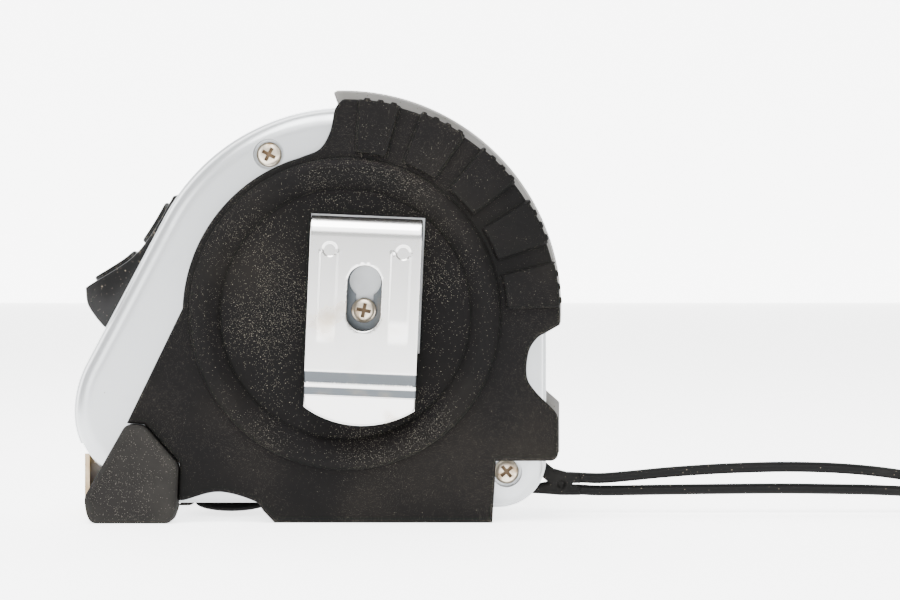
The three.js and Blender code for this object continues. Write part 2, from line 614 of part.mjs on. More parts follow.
/** The drum that the blade is wound on, closed by a web on the plain side. */
function drum() {
  const half = BLADE_WIDTH / 2;
  const bore = SPINDLE_RADIUS + RUNNING_CLEARANCE;
  const inner = DRUM_RADIUS - DRUM_WALL;
  return toGeometry(turned([
    [bore, half], [bore, half - DRUM_WEB], [inner, half - DRUM_WEB], [inner, -half],
    [DRUM_RADIUS, -half], [DRUM_RADIUS, half], [bore, half],
  ], [0, 0], 36));
}

/** The recoil spring: a flat spiral between the spindle and the drum. */
function recoilSpring() {
  const start = SPINDLE_RADIUS + RUNNING_CLEARANCE + SPRING_THICKNESS;
  const end = DRUM_RADIUS - DRUM_WALL - RUNNING_CLEARANCE - SPRING_THICKNESS;
  const steps = SPRING_TURNS * SPRING_STEPS;
  const line = [];
  for (let i = 0; i <= steps; i += 1) {
    const radius = start + ((end - start) * i) / steps;
    const angle = (i / SPRING_STEPS) * 2 * Math.PI;
    line.push(new THREE.Vector2(radius * Math.cos(angle), radius * Math.sin(angle)));
  }
  const half = BLADE_WIDTH / 2 - DRUM_WEB - RUNNING_CLEARANCE;
  return toGeometry(prism(stripOutline(line, SPRING_THICKNESS), -half, half));
}

/** The blade as it is wound up on the drum. */
function bladeCoil() {
  const half = BLADE_WIDTH / 2;
  return toGeometry(turned([
    [COIL_INNER, half], [COIL_INNER, -half], [COIL_OUTER, -half], [COIL_OUTER, half],
    [COIL_INNER, half],
  ], [0, 0], 40));
}

/** The stretch of blade between the coil and the straight run. */
function bladeLead() {
  const radius = COIL_OUTER + RUNNING_CLEARANCE + BLADE_THICKNESS / 2;
  const level = BLADE_HEIGHT + BLADE_THICKNESS / 2;
  const leave = 262 * RAD;
  const start = new THREE.Vector2(radius * Math.cos(leave), HUB_HEIGHT + radius * Math.sin(leave));
  const pull = 6;
  const curve = new THREE.CubicBezierCurve(
    start,
    new THREE.Vector2(start.x + pull * Math.sin(leave), start.y - pull * Math.cos(leave)),
    new THREE.Vector2(BLADE_BEND_X + FIT_GAP + pull, level),
    new THREE.Vector2(BLADE_BEND_X + FIT_GAP, level),
  );
  const half = BLADE_WIDTH / 2;
  return toGeometry(prism(stripOutline(curve.getPoints(10), BLADE_THICKNESS), -half, half));
}

/** Height of a cupped strip above its middle, at y, for edges that curl up by cup. */
function cupHeight(y, cup) {
  return cup * (y / (BLADE_WIDTH / 2)) ** 2;
}

/** A cupped strip along X between stations [x, cup], width and underside given. */
function cuppedStrip(stations, width, underside, thickness) {
  const steps = 12;
  return loft(stations.map(([x, cup]) => {
    const low = [];
    const high = [];
    for (let i = 0; i <= steps; i += 1) {
      const y = width * (i / steps - 0.5);
      const z = underside + cupHeight(y, cup);
      low.push(new THREE.Vector3(x, y, z));
      high.unshift(new THREE.Vector3(x, y, z + thickness));
    }
    return [...low, ...high];
  }));
}

/** The straight end of the blade, with the rivet holes. */
function bladeTip() {
  const stations = [];
  const cupped = HOOK_FRONT + HOOK_TONGUE + RUNNING_CLEARANCE; // full cup from here forward
  for (let i = 0; i <= 4; i += 1) {
    stations.push([BLADE_BEND_X + ((cupped - BLADE_BEND_X) * i) / 4, (BLADE_CUP * i) / 4]);
  }
  stations.push([HOOK_FRONT + HOOK_THICKNESS + FIT_GAP, BLADE_CUP]);
  let tip = cuppedStrip(stations, BLADE_WIDTH, BLADE_HEIGHT, BLADE_THICKNESS);
  for (const [x, y] of RIVETS) {
    const hole = post([x, y], RIVET_RADIUS + FIT_GAP, 0, BEYOND, 16);
    tip = tip.subtract(hole);
  }
  return toGeometry(tip);
}

/** The end hook: a plate in front and a slotted tongue under the blade. */
function endHook() {
  const under = BLADE_HEIGHT - FIT_GAP - HOOK_THICKNESS;
  const back = HOOK_FRONT + HOOK_TONGUE;
  let hook = cuppedStrip([[back, BLADE_CUP], [HOOK_FRONT, BLADE_CUP]], HOOK_WIDTH * 0.62, under,
    HOOK_THICKNESS);
  const half = HOOK_WIDTH / 2;
  const plate = [];
  for (let i = 0; i <= 12; i += 1) {
    const y = HOOK_WIDTH * (i / 12 - 0.5);
    plate.push([y, under + HOOK_THICKNESS + cupHeight(y, BLADE_CUP)]);
  }
  const corner = 1.5;
  const outline = [[-half + corner, HOOK_BOTTOM], [half - corner, HOOK_BOTTOM],
    [half, HOOK_BOTTOM + corner], ...plate.reverse(), [-half, HOOK_BOTTOM + corner]];
  const rings = [HOOK_FRONT, HOOK_FRONT + HOOK_THICKNESS].map((x) => (
    outline.map(([y, z]) => new THREE.Vector3(x, y, z))
  ));
  hook = hook.add(loftAcross(rings));
  for (const [x, y] of RIVETS) {
    const slot = RIVET_RADIUS + FIT_GAP;
    hook = hook.subtract(post([x, y], slot, 0, BEYOND, 16))
      .subtract(post([x + HOOK_FLOAT, y], slot, 0, BEYOND, 16))
      .subtract(box([x, y - slot, 0], [x + HOOK_FLOAT, y + slot, BEYOND]));
  }
  return toGeometry(hook);
}

/** Two outlines in YZ planes joined into a plate. */
function loftAcross([front, back]) {
  const shape = new THREE.Shape(front.map((p) => new THREE.Vector2(p.y, p.z)));
  const geometry = new THREE.ExtrudeGeometry(shape, {
    depth: back[0].x - front[0].x,
    bevelEnabled: false,
  });
  const turn = new THREE.Matrix4().makeBasis(
    new THREE.Vector3(0, 1, 0), new THREE.Vector3(0, 0, 1), new THREE.Vector3(1, 0, 0),
  );
  return toSolid(geometry.applyMatrix4(turn).translate(front[0].x, 0, 0));
}

/** A rivet through the blade and the hook's tongue, about the vertical at its own place. */
function rivet(y) {
  const lift = cupHeight(Math.abs(y) + RIVET_HEAD_RADIUS, BLADE_CUP);
  const drop = cupHeight(Math.max(Math.abs(y) - RIVET_HEAD_RADIUS, 0), BLADE_CUP);
  const top = BLADE_HEIGHT + BLADE_THICKNESS + lift + FIT_GAP;
  const under = BLADE_HEIGHT - 2 * FIT_GAP - HOOK_THICKNESS + drop;
  const profile = [
    [0, under - RIVET_HEAD_HEIGHT], [RIVET_HEAD_RADIUS, under - RIVET_HEAD_HEIGHT],
    [RIVET_HEAD_RADIUS, under], [RIVET_RADIUS, under], [RIVET_RADIUS, top],
    [RIVET_HEAD_RADIUS, top], [RIVET_HEAD_RADIUS * 0.8, top + RIVET_HEAD_HEIGHT],
    [0, top + RIVET_HEAD_HEIGHT],
  ].map(([radius, z]) => new THREE.Vector2(radius, z));
  return toGeometry(toSolid(new THREE.LatheGeometry(profile, 12).rotateX(Math.PI / 2)));
}

// ---- thumb lock and finger brake --------------------------------------------------------

/** The thumb lock's side outline in the slope's frame: x is minus the height off the slope. */
function lockOutline() {
  const face = smooth([
    [-LOCK_HEIGHT + 0.7, LOCK_TIP + 1.3], [-4.2, LOCK_TIP + 4.4], [-2.4, LOCK_TIP + 7.8],
    [-1.5, LOCK_TIP + 11.0], [-1.05, LOCK_TIP + 15.5], [-0.95, LOCK_TOP - 0.6],
  ], 14);
  const chin = smooth([
    [-1.0, LOCK_BOTTOM], [-3.2, LOCK_BOTTOM + 0.9], [-5.3, LOCK_TIP - 2.2],
    [-LOCK_HEIGHT, LOCK_TIP],
  ], 8);
  return [
    new THREE.Vector2(-LOCK_GAP, LOCK_BOTTOM), ...chin, ...face,
    new THREE.Vector2(-LOCK_GAP, LOCK_TOP),
  ].reverse();
}

/** The thumb lock: its concave slider and the stem through the slot. */
function thumbLock() {
  const slider = prism(lockOutline(), -LOCK_HALF_WIDTH, LOCK_HALF_WIDTH);
  const stem = box([-LOCK_GAP - 0.4, -STEM_HALF_WIDTH, LOCK_BOTTOM + LOCK_GAP],
    [WALL + LOCK_GAP, STEM_HALF_WIDTH, STEM_TOP]);
  return toGeometry(slider.add(stem));
}

/** The steel tongue inside, which wedges the blade at the mouth. */
function lockTongue() {
  const depth = WALL + LOCK_GAP + FIT_GAP + TONGUE_THICKNESS / 2;
  const local = (x, z) => {
    const point = new THREE.Vector3(x, 0, z).applyMatrix4(slopeFrame.clone().invert());
    return new THREE.Vector2(point.x, point.z);
  };
  const tipX = FRONT_WALL + 2.2;
  const headTop = BLADE_HEIGHT + BLADE_THICKNESS + FIT_GAP + RIVET_HEAD_HEIGHT
    + cupHeight(RIVET_HEAD_RADIUS, BLADE_CUP);
  const tipZ = headTop + RUNNING_CLEARANCE; // clears the middle rivet as the blade goes out
  const line = [
    new THREE.Vector2(depth, STEM_TOP),
    new THREE.Vector2(depth, LOCK_BOTTOM),
    local(tipX - 0.4, NOSE_HEIGHT + 5),
    local(tipX, tipZ),
  ];
  const outline = stripOutline(line, TONGUE_THICKNESS);
  return toGeometry(prism(outline, -TONGUE_HALF_WIDTH, TONGUE_HALF_WIDTH));
}

/** The finger brake: a shallow dome underneath with a stem up through the web. */
function fingerBrake() {
  const padTop = PAD_LOW + BRAKE_PAD_HEIGHT;
  const profile = [
    [0, BRAKE_BOTTOM], [BRAKE_RADIUS * 0.4, BRAKE_BOTTOM + 0.12],
    [BRAKE_RADIUS * 0.75, BRAKE_BOTTOM + 0.6], [BRAKE_RADIUS, BRAKE_BOTTOM + 1.5],
    [BRAKE_RADIUS, BRAKE_TOP], [BRAKE_STEM_RADIUS, BRAKE_TOP],
    [BRAKE_STEM_RADIUS, padTop], [0, padTop],
  ].map(([radius, z]) => new THREE.Vector2(radius, z));
  return toGeometry(toSolid(new THREE.LatheGeometry(profile, 24).rotateX(Math.PI / 2)));
}

/** The pad on top of the brake's stem, which keeps it in and rubs on the blade. */
function brakePad() {
  const ring = post([0, 0], BRAKE_PAD_RADIUS, PAD_LOW, PAD_LOW + BRAKE_PAD_HEIGHT, 28);
  return toGeometry(ring.subtract(post([0, 0], BRAKE_STEM_RADIUS + 0.05, 0, BEYOND, 32)));
}

/** The small conical spring under the web, drawn as a tapered sleeve. */
function brakeSpring() {
  const low = BRAKE_TOP + FIT_GAP;
  const high = WELL_CEILING - FIT_GAP;
  const wire = 0.35;
  const wide = BRAKE_RADIUS - 1.4;
  const narrow = BRAKE_STEM_RADIUS + BRAKE_CLEARANCE + 0.6;
  const profile = [
    [wide, low], [narrow, high], [narrow - wire, high], [wide - wire, low], [wide, low],
  ].map(([radius, z]) => new THREE.Vector2(radius, z));
  return toGeometry(toSolid(new THREE.LatheGeometry(profile, 28).rotateX(Math.PI / 2)));
}

// ---- belt clip --------------------------------------------------------------------------

/** A strip that follows a line of [y, z] points, drawn across the clip's width. */
function acrossClip(line, thickness) {
  const shape = new THREE.Shape(stripOutline(line, thickness));
  const geometry = new THREE.ExtrudeGeometry(shape, { depth: CLIP_WIDTH, bevelEnabled: false });
  const turn = new THREE.Matrix4().makeBasis(
    new THREE.Vector3(0, 1, 0), new THREE.Vector3(0, 0, 1), new THREE.Vector3(1, 0, 0),
  );
  return toSolid(geometry.applyMatrix4(turn).translate(-CLIP_WIDTH / 2, 0, 0));
}

/** A slot outline with round ends, upright, centred on x. */
function slotOutline(x, bottom, top, width) {
  const r = width / 2;
  return [...arc(x, top - r, r, 0, 180, 8), ...arc(x, bottom + r, r, 180, 360, 8)];
}

/** The clip's fixed leg, flat on the case under the screw head, with its keyhole. */
function clipBase() {
  const half = CLIP_WIDTH / 2;
  const outline = [
    new THREE.Vector2(-half, CLIP_BASE_BOTTOM),
    new THREE.Vector2(half, CLIP_BASE_BOTTOM),
    new THREE.Vector2(half, CLIP_BEND_Z - LOCK_GAP),
    new THREE.Vector2(-half, CLIP_BEND_Z - LOCK_GAP),
  ];
  const low = CLIP_BASE_Y - CLIP_THICKNESS / 2;
  let leg = prism(outline, low, low + CLIP_THICKNESS);
  leg = leg.subtract(rod([0, KEYHOLE.height], KEYHOLE.radius, low - 1, low + 2));
  leg = leg.subtract(prism(slotOutline(0, -KEYHOLE.neck, KEYHOLE.height, KEYHOLE.neck * 2),
    low - 1, low + 2));
  return toGeometry(leg);
}

/** The clip's sprung leg: the bend, the flat front, the pinch and the flared lip. */
function clipLeg() {
  const line = arc(0, 0, CLIP_BEND_RADIUS, 0, 180, 10)
    .map((p) => new THREE.Vector2(CLIP_BASE_Y - CLIP_BEND_RADIUS + p.x, CLIP_BEND_Z + p.y));
  const frontY = CLIP_BASE_Y - 2 * CLIP_BEND_RADIUS;
  line.push(
    new THREE.Vector2(frontY, CLIP_PINCH_HEIGHT),
    new THREE.Vector2(frontY + CLIP_PINCH, CLIP_PINCH_HEIGHT - 2.6),
    new THREE.Vector2(frontY + CLIP_PINCH, CLIP_PINCH_HEIGHT - 3.6),
    new THREE.Vector2(frontY + 0.2, CLIP_LIP),
  );
  const half = CLIP_WIDTH / 2;
  const edge = Math.asin(half / CLIP_LIP_RADIUS) / RAD;
  const outline = [
    ...arc(0, CLIP_LIP + CLIP_LIP_RADIUS, CLIP_LIP_RADIUS, -90 - edge, -90 + edge, 12),
    new THREE.Vector2(half, CLIP_TOP + 2),
    new THREE.Vector2(-half, CLIP_TOP + 2),
  ];
  let leg = acrossClip(line, CLIP_THICKNESS);
  leg = leg.intersect(prism(outline, frontY - 3, 0));
  const { width, bottom, top, offset } = CLIP_SLOT;
  const slot = prism(slotOutline(offset, bottom, top, width), frontY - 2, frontY + 1);
  return toGeometry(leg.subtract(slot));
}

// ---- screws -----------------------------------------------------------------------------

/** A cross-recess screw along +Y, its head's top at y = 0. */
function screw(length) {
  const head = [
    [0, 0], [SCREW_HEAD_RADIUS * 0.82, 0.05], [SCREW_HEAD_RADIUS, 0.4],
    [SCREW_HEAD_RADIUS, SCREW_HEAD_HEIGHT], [SCREW_RADIUS, SCREW_HEAD_HEIGHT],
    [SCREW_RADIUS, length - 1], [0, length],
  ];
  let solid = turned(head, [0, 0], 18);
  const arm = SCREW_HEAD_RADIUS * 0.55;
  const w = CROSS_HALF_WIDTH;
  solid = solid.subtract(box([-arm, -1, -w], [arm, CROSS_DEPTH, w]))
    .subtract(box([-w, -1, -arm], [w, CROSS_DEPTH, arm]));
  return toGeometry(solid);
}

// ---- wrist strap ------------------------------------------------------------------------

/** The strap's moulded eye round the rear boss, its two arms and the yoke. */
function strapEye() {
  const [x, z] = REAR_SCREW;
  const outer = STRAP_EYE_RADIUS + STRAP_WIDTH;
  const half = STRAP_WIDTH / 2;
  const upper = STRAP_UPPER_Z + half;
  const lower = STRAP_LOWER_Z - half;
  const slotX = STRAP_STUB_X - 1;
  const outline = [
    ...arc(x, z, outer, 52, 268, 18),
    new THREE.Vector2(STRAP_STUB_X - 3, lower),
    new THREE.Vector2(STRAP_STUB_X, lower),
    new THREE.Vector2(STRAP_STUB_X, STRAP_LOWER_Z + half),
    new THREE.Vector2(slotX, STRAP_LOWER_Z + half),
    new THREE.Vector2(slotX, STRAP_UPPER_Z - half),
    new THREE.Vector2(STRAP_STUB_X, STRAP_UPPER_Z - half),
    new THREE.Vector2(STRAP_STUB_X, upper),
    new THREE.Vector2(STRAP_STUB_X - 2, upper + 0.1),
    new THREE.Vector2(STRAP_STUB_X - 4.3, upper + 0.7),
    new THREE.Vector2(STRAP_STUB_X - 6, upper + 2.1),
  ];
  const hole = [
    ...arc(x, z, STRAP_EYE_RADIUS, 52, 268, 14),
    new THREE.Vector2(x + 5.4, lower + STRAP_WIDTH + 0.1),
    new THREE.Vector2(x + 7.5, lower + STRAP_WIDTH + 0.5),
  ];
  return toGeometry(prism(outline, -STRAP_HALF_DEPTH, STRAP_HALF_DEPTH, [hole]));
}

/** The strap's loop: a plain tube along its route. */
function strapLoop() {
  const sides = 8;
  const radius = STRAP_WIDTH / 2;
  const section = new THREE.Shape(arc(0, 0, radius, 0, 360 - 360 / sides, sides - 1));
  const start = STRAP_STUB_X + STRAP_JOINT_GAP;
  const points = STRAP_ROUTE.map(([x, y, z]) => new THREE.Vector3(start + x, y, z));
  const route = new THREE.CatmullRomCurve3(points);
  return new THREE.ExtrudeGeometry(section, { steps: 54, extrudePath: route, bevelEnabled: false });
}

// ---- assembly ---------------------------------------------------------------------------

/** A material from a colour, a roughness and a metalness. */
function finish(color, roughness, metalness) {
  return new THREE.MeshStandardMaterial({ color, roughness, metalness });
}

const silver = finish(0xd7dadb, 0.38, 0.55);
const rubber = finish(0x1c1b1a, 0.85, 0);
const blackPlastic = finish(0x171717, 0.5, 0);
const greyPlastic = finish(0x9b9894, 0.65, 0);
const whitePlastic = finish(0xd8d6cf, 0.5, 0);
const clipSteel = finish(0xc9c9c8, 0.25, 1);
const springSteel = finish(0x6f7376, 0.4, 1);
const bladePaint = finish(0xe3c53a, 0.45, 0);
const hookSteel = finish(0xb39f7d, 0.4, 0.9);
const screwMetal = finish(0xb5a78d, 0.35, 0.9);
const strapPlastic = finish(0x20201f, 0.45, 0);

const model = new THREE.Group();

/** Adds a named piece to a group. */
function add(group, name, geometry, material, position = [0, 0, 0]) {
  const mesh = new THREE.Mesh(geometry, material);
  mesh.name = name;
  mesh.position.set(...position);
  group.add(mesh);
}

add(model, "case_clip_side", caseHalf(-1), silver);
add(model, "case_plain_side", caseHalf(1), silver);
add(model, "mouth_lip", mouthLip(), blackPlastic);
add(model, "grip_clip_side", grip(-1), rubber);
add(model, "grip_plain_side", grip(1), rubber);
add(model, "front_foot_clip_side", frontFoot(-1), rubber);
add(model, "front_foot_plain_side", frontFoot(1), rubber);
add(model, "spine_upper", spineUpper(), greyPlastic);
add(model, "spine_lower", spineLower(), greyPlastic);

// turning parts, about the spindle
const reel = new THREE.Group();
reel.position.set(0, 0, HUB_HEIGHT);
add(reel, "spindle", spindle(), blackPlastic);
add(reel, "drum", drum(), whitePlastic);
add(reel, "recoil_spring", recoilSpring(), springSteel);
add(reel, "blade_coil", bladeCoil(), bladePaint);
model.add(reel);

add(model, "blade_lead", bladeLead(), bladePaint);
add(model, "blade_tip", bladeTip(), bladePaint);
add(model, "end_hook", endHook(), hookSteel);
RIVETS.forEach(([x, y], i) => add(model, `hook_rivet_${i + 1}`, rivet(y), hookSteel, [x, y, 0]));

// thumb lock, on the front slope
const lock = new THREE.Group();
lock.applyMatrix4(slopeFrame);
add(lock, "thumb_lock", thumbLock(), blackPlastic);
add(lock, "lock_tongue", lockTongue(), springSteel);
model.add(lock);

add(model, "finger_brake", fingerBrake(), blackPlastic, [BRAKE_X, 0, 0]);
add(model, "brake_pad", brakePad(), rubber, [BRAKE_X, 0, 0]);
add(model, "brake_spring", brakeSpring(), springSteel, [BRAKE_X, 0, 0]);

// belt clip, turned a little about its screw
const clip = new THREE.Group();
clip.applyMatrix4(clipFrame);
add(clip, "clip_base", clipBase(), clipSteel);
add(clip, "clip_leg", clipLeg(), clipSteel);
model.add(clip);

const clipHeadTop = CLIP_BASE_Y - CLIP_THICKNESS / 2 - LOCK_GAP - SCREW_HEAD_HEIGHT;
const caseHeadTop = -HALF_WIDTH + SCREW_SINK;
const caseScrew = screw(CASE_SCREW_LENGTH);
add(model, "clip_screw", screw(CLIP_SCREW_LENGTH), screwMetal, [CLIP_X, clipHeadTop, CLIP_Z]);
for (const [name, [x, z]] of [["upper_front_screw", UPPER_SCREW], ["rear_lower_screw", REAR_SCREW]]) {
  add(model, name, caseScrew, screwMetal, [x, caseHeadTop, z]);
}

add(model, "strap_eye", strapEye(), strapPlastic);
add(model, "strap_loop", strapLoop(), strapPlastic);

export default model;
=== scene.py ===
"""The visible pocket tape measure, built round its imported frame.

Each sub-assembly is a class that holds its sizes in millimetres, builds its meshes in the
frame's own place and dresses them in its finishes. The mouth looks towards -X, the belt
clip is on the -Y side and the rest face is at Z = 0.
"""

from __future__ import annotations

import json
import logging
import math
from dataclasses import dataclass
from enum import Enum
from typing import Callable, ClassVar, Iterable, Sequence

import bmesh
import bpy
import numpy as np
from mathutils import Matrix, Vector
from mathutils.geometry import delaunay_2d_cdt

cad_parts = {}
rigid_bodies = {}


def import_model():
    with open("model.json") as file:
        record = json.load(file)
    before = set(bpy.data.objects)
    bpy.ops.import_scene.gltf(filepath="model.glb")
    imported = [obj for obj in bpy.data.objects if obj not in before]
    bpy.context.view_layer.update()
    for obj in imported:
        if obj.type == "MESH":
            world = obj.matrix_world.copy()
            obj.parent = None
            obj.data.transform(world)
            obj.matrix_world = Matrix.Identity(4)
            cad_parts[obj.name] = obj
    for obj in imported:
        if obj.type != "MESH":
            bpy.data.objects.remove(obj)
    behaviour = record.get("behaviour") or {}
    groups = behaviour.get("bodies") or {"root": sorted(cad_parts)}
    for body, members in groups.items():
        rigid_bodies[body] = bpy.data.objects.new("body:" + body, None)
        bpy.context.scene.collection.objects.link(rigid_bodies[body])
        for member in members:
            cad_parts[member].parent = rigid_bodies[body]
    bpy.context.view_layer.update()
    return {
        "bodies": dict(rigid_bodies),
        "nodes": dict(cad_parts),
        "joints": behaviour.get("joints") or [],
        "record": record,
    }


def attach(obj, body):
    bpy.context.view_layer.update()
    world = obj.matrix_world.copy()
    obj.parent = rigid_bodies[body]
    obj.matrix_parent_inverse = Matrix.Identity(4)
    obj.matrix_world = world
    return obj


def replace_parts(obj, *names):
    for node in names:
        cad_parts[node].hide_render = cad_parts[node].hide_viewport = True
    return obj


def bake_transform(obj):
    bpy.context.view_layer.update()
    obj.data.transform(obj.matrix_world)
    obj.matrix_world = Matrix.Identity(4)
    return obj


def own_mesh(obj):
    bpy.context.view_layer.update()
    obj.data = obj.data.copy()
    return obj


LOG = logging.getLogger("tape_measure")
MM = 0.001
NUMBER = "NodeSocketFloat"

Object = bpy.types.Object
Tree = bpy.types.NodeTree
Socket = bpy.types.NodeSocket
Point = tuple[float, float]
Colour = tuple[float, float, float]
Points = np.ndarray
Surface = Callable[[Points], Points]


class Side(Enum):
    """The two sides of the case, by the sign of their Y."""

    CLIP = -1
    PLAIN = 1


class Cut(Enum):
    """What a tool solid does to a piece."""

    AWAY = "DIFFERENCE"
    ONTO = "UNION"


# ---- curves and outlines ----------------------------------------------------------------


def arc(centre: Point, radius: float, start: float, end: float, steps: int) -> list[Point]:
    """Points along an arc, both ends included.

    Args:
        centre: middle of the arc.
        radius: its radius.
        start: first angle in degrees.
        end: last angle in degrees.
        steps: number of chords.

    Returns:
        The points in order.
    """
    angles = np.radians(np.linspace(start, end, steps + 1))
    return [(centre[0] + radius * math.cos(a), centre[1] + radius * math.sin(a)) for a in angles]


def smooth(points: Sequence[Point], steps: int) -> list[Point]:
    """An even, smooth run of points through the given ones.

    Args:
        points: places that the curve passes.
        steps: number of chords in the whole run.

    Returns:
        The points in order, both ends included.
    """
    p = np.array(points, float)
    p = np.vstack([2 * p[0] - p[1], p, 2 * p[-1] - p[-2]])
    out = []
    for t in np.linspace(0, len(points) - 1, steps + 1):
        i = min(int(t), len(points) - 2)
        f = t - i
        a, b, c, d = p[i : i + 4]
        q = 0.5 * (2 * b + (c - a) * f + (2 * a - 5 * b + 4 * c - d) * f**2
                   + (3 * b - a - 3 * c + d) * f**3)
        out.append((float(q[0]), float(q[1])))
    return out


def rounded_corners(points: Sequence[Point], radius: float, steps: int = 4) -> list[Point]:
    """A closed outline with each corner eased.

    Args:
        points: the corners in order.
        radius: how far back from a corner its easing starts, at most.
        steps: chords in each corner.

    Returns:
        The eased outline.
    """
    p = np.array(points, float)
    out: list[Point] = []
    for i, corner in enumerate(p):
        before, after = p[i - 1] - corner, p[(i + 1) % len(p)] - corner
        reach = [min(radius, 0.45 * float(np.linalg.norm(v))) for v in (before, after)]
        a = corner + before / np.linalg.norm(before) * reach[0]
        b = corner + after / np.linalg.norm(after) * reach[1]
        for f in np.linspace(0, 1, steps + 1):
            q = (1 - f) ** 2 * a + 2 * f * (1 - f) * corner + f**2 * b
            out.append((float(q[0]), float(q[1])))
    return out


def dense(points: Sequence[Point], step: float) -> list[Point]:
    """A closed outline with points no further apart than step."""
    p = np.array(points, float)
    out: list[Point] = []
    for a, b in zip(p, np.roll(p, -1, axis=0)):
        length = float(np.linalg.norm(b - a))
        if length < 1e-6:
            continue
        for f in np.arange(max(1, math.ceil(length / step))) / max(1, math.ceil(length / step)):
            q = a + (b - a) * f
            out.append((float(q[0]), float(q[1])))
    return out


def inside(points: Points, outline: Sequence[Point]) -> Points:
    """Which points lie inside a closed outline."""
    poly = np.array(outline, float)
    result = np.zeros(len(points), bool)
    for (x0, z0), (x1, z1) in zip(poly, np.roll(poly, -1, axis=0)):
        if z0 == z1:
            continue
        crosses = (points[:, 1] < z0) != (points[:, 1] < z1)
        at = x0 + (points[:, 1] - z0) * (x1 - x0) / (z1 - z0)
        result ^= crosses & (points[:, 0] < at)
    return result


def edge_distance(points: Points, outline: Sequence[Point]) -> Points:
    """How far each point is from a closed outline."""
    poly = np.array(outline, float)
    best = np.full(len(points), np.inf)
    for a, b in zip(poly, np.roll(poly, -1, axis=0)):
        along = b - a
        length = float(along @ along)
        if length == 0:
            continue
        f = np.clip(((points - a) @ along) / length, 0, 1)
        best = np.minimum(best, np.linalg.norm(points - a - f[:, None] * along, axis=1))
    return best


def eased_drop(distance: Points, radius: float) -> Points:
    """How far a round edge falls below its face, at a distance in from the edge."""
    short = np.clip(radius - distance, 0, radius)
    return radius - np.sqrt(np.maximum(radius**2 - short**2, 0))


def step_up(value: Points, low: float, high: float) -> Points:
    """A smooth rise from 0 at low to 1 at high."""
    t = np.clip((value - low) / (high - low), 0, 1)
    return t * t * (3 - 2 * t)


def filling(outline: Sequence[Point], spacing: float, rings: Sequence[float]) -> Points:
    """Points that fill an outline for a mesh that follows its edge.

    Args:
        outline: closed outline.
        spacing: distance between points in the middle.
        rings: distances in from the edge that get a row of points of their own.

    Returns:
        The points as rows.
    """
    poly = np.array(outline, float)
    low, high = poly.min(axis=0), poly.max(axis=0)
    xs = np.arange(low[0], high[0], spacing)
    zs = np.arange(low[1], high[1], spacing * 0.87)
    grid = np.array([(x + (spacing / 2 if j % 2 else 0), z) for j, z in enumerate(zs) for x in xs])
    grid = grid[inside(grid, outline)]
    grid = grid[edge_distance(grid, outline) > max(rings, default=0) + spacing * 0.5]
    ahead = np.roll(poly, -1, axis=0)
    along = ahead - np.roll(poly, 1, axis=0)
    along /= np.maximum(np.linalg.norm(along, axis=1), 1e-9)[:, None]
    turn = float(np.sum(poly[:, 0] * ahead[:, 1] - ahead[:, 0] * poly[:, 1]))
    inward = math.copysign(1, turn) * np.column_stack([-along[:, 1], along[:, 0]])
    sets = [grid]
    for depth in rings:
        row = poly + inward * depth
        row = row[inside(row, outline)]
        sets.append(row[edge_distance(row, outline) > depth * 0.97])
    return np.vstack(sets)


def at_depth(flat: Points, depth: float | Points) -> Points:
    """Flat points stood up in X and Z, at a depth in Y."""
    return np.column_stack([flat[:, 0], np.broadcast_to(depth, len(flat)), flat[:, 1]])


def placed(points: Iterable[Sequence[float]], place: Matrix) -> Points:
    """Points carried by a matrix."""
    return np.array([place @ Vector(p) for p in points])


# ---- meshes -----------------------------------------------------------------------------


def new_piece(name: str, verts: Iterable[Sequence[float]], faces: Iterable[Sequence[int]],
              sharp: float = 40) -> Object:
    """A mesh object from millimetre vertices, with faces out and smooth shading.

    Args:
        name: the piece's name.
        verts: vertices in millimetres.
        faces: lists of vertex numbers.
        sharp: angle in degrees above which an edge stays crisp.

    Returns:
        The linked object.
    """
    mesh = bpy.data.meshes.new(name)
    mesh.from_pydata([tuple(float(c) * MM for c in v) for v in verts], [],
                     [[int(i) for i in f] for f in faces])
    work = bmesh.new()
    work.from_mesh(mesh)
    bmesh.ops.remove_doubles(work, verts=work.verts, dist=1e-7)
    bmesh.ops.recalc_face_normals(work, faces=work.faces)
    work.to_mesh(mesh)
    work.free()
    mesh.shade_smooth()
    mesh.set_sharp_from_angle(angle=math.radians(sharp))
    piece = bpy.data.objects.new(name, mesh)
    bpy.context.scene.collection.objects.link(piece)
    return piece


def loft(name: str, rings: Sequence[Points], sharp: float = 40) -> Object:
    """A closed solid through rings of equal length, capped at both ends."""
    count = len(rings[0])
    faces: list[list[int]] = []
    for r in range(len(rings) - 1):
        for i in range(count):
            a, b = r * count + i, r * count + (i + 1) % count
            faces.append([a, b, b + count, a + count])
    last = (len(rings) - 1) * count
    faces.append(list(range(count))[::-1])
    faces.append([last + i for i in range(count)])
    return new_piece(name, np.vstack(rings), faces, sharp)


def lathe(name: str, profile: Sequence[Point], sides: int, place: Matrix) -> Object:
    """A profile of (radius, height) pairs turned about Z, then placed.

    Args:
        name: the piece's name.
        profile: pairs from the axis back to the axis.
        sides: facets in the round.
        place: where the axis goes, in millimetres.

    Returns:
        The turned solid.
    """
    faces: list[list[int]] = []
    turns = [2 * math.pi * i / sides for i in range(sides)]
    verts = placed([(radius * math.cos(t), radius * math.sin(t), height)
                    for radius, height in profile for t in turns], place)
    for r in range(len(profile) - 1):
        for i in range(sides):
            a, b = r * sides + i, r * sides + (i + 1) % sides
            faces.append([a, b, b + sides, a + sides])
    return new_piece(name, verts, faces)


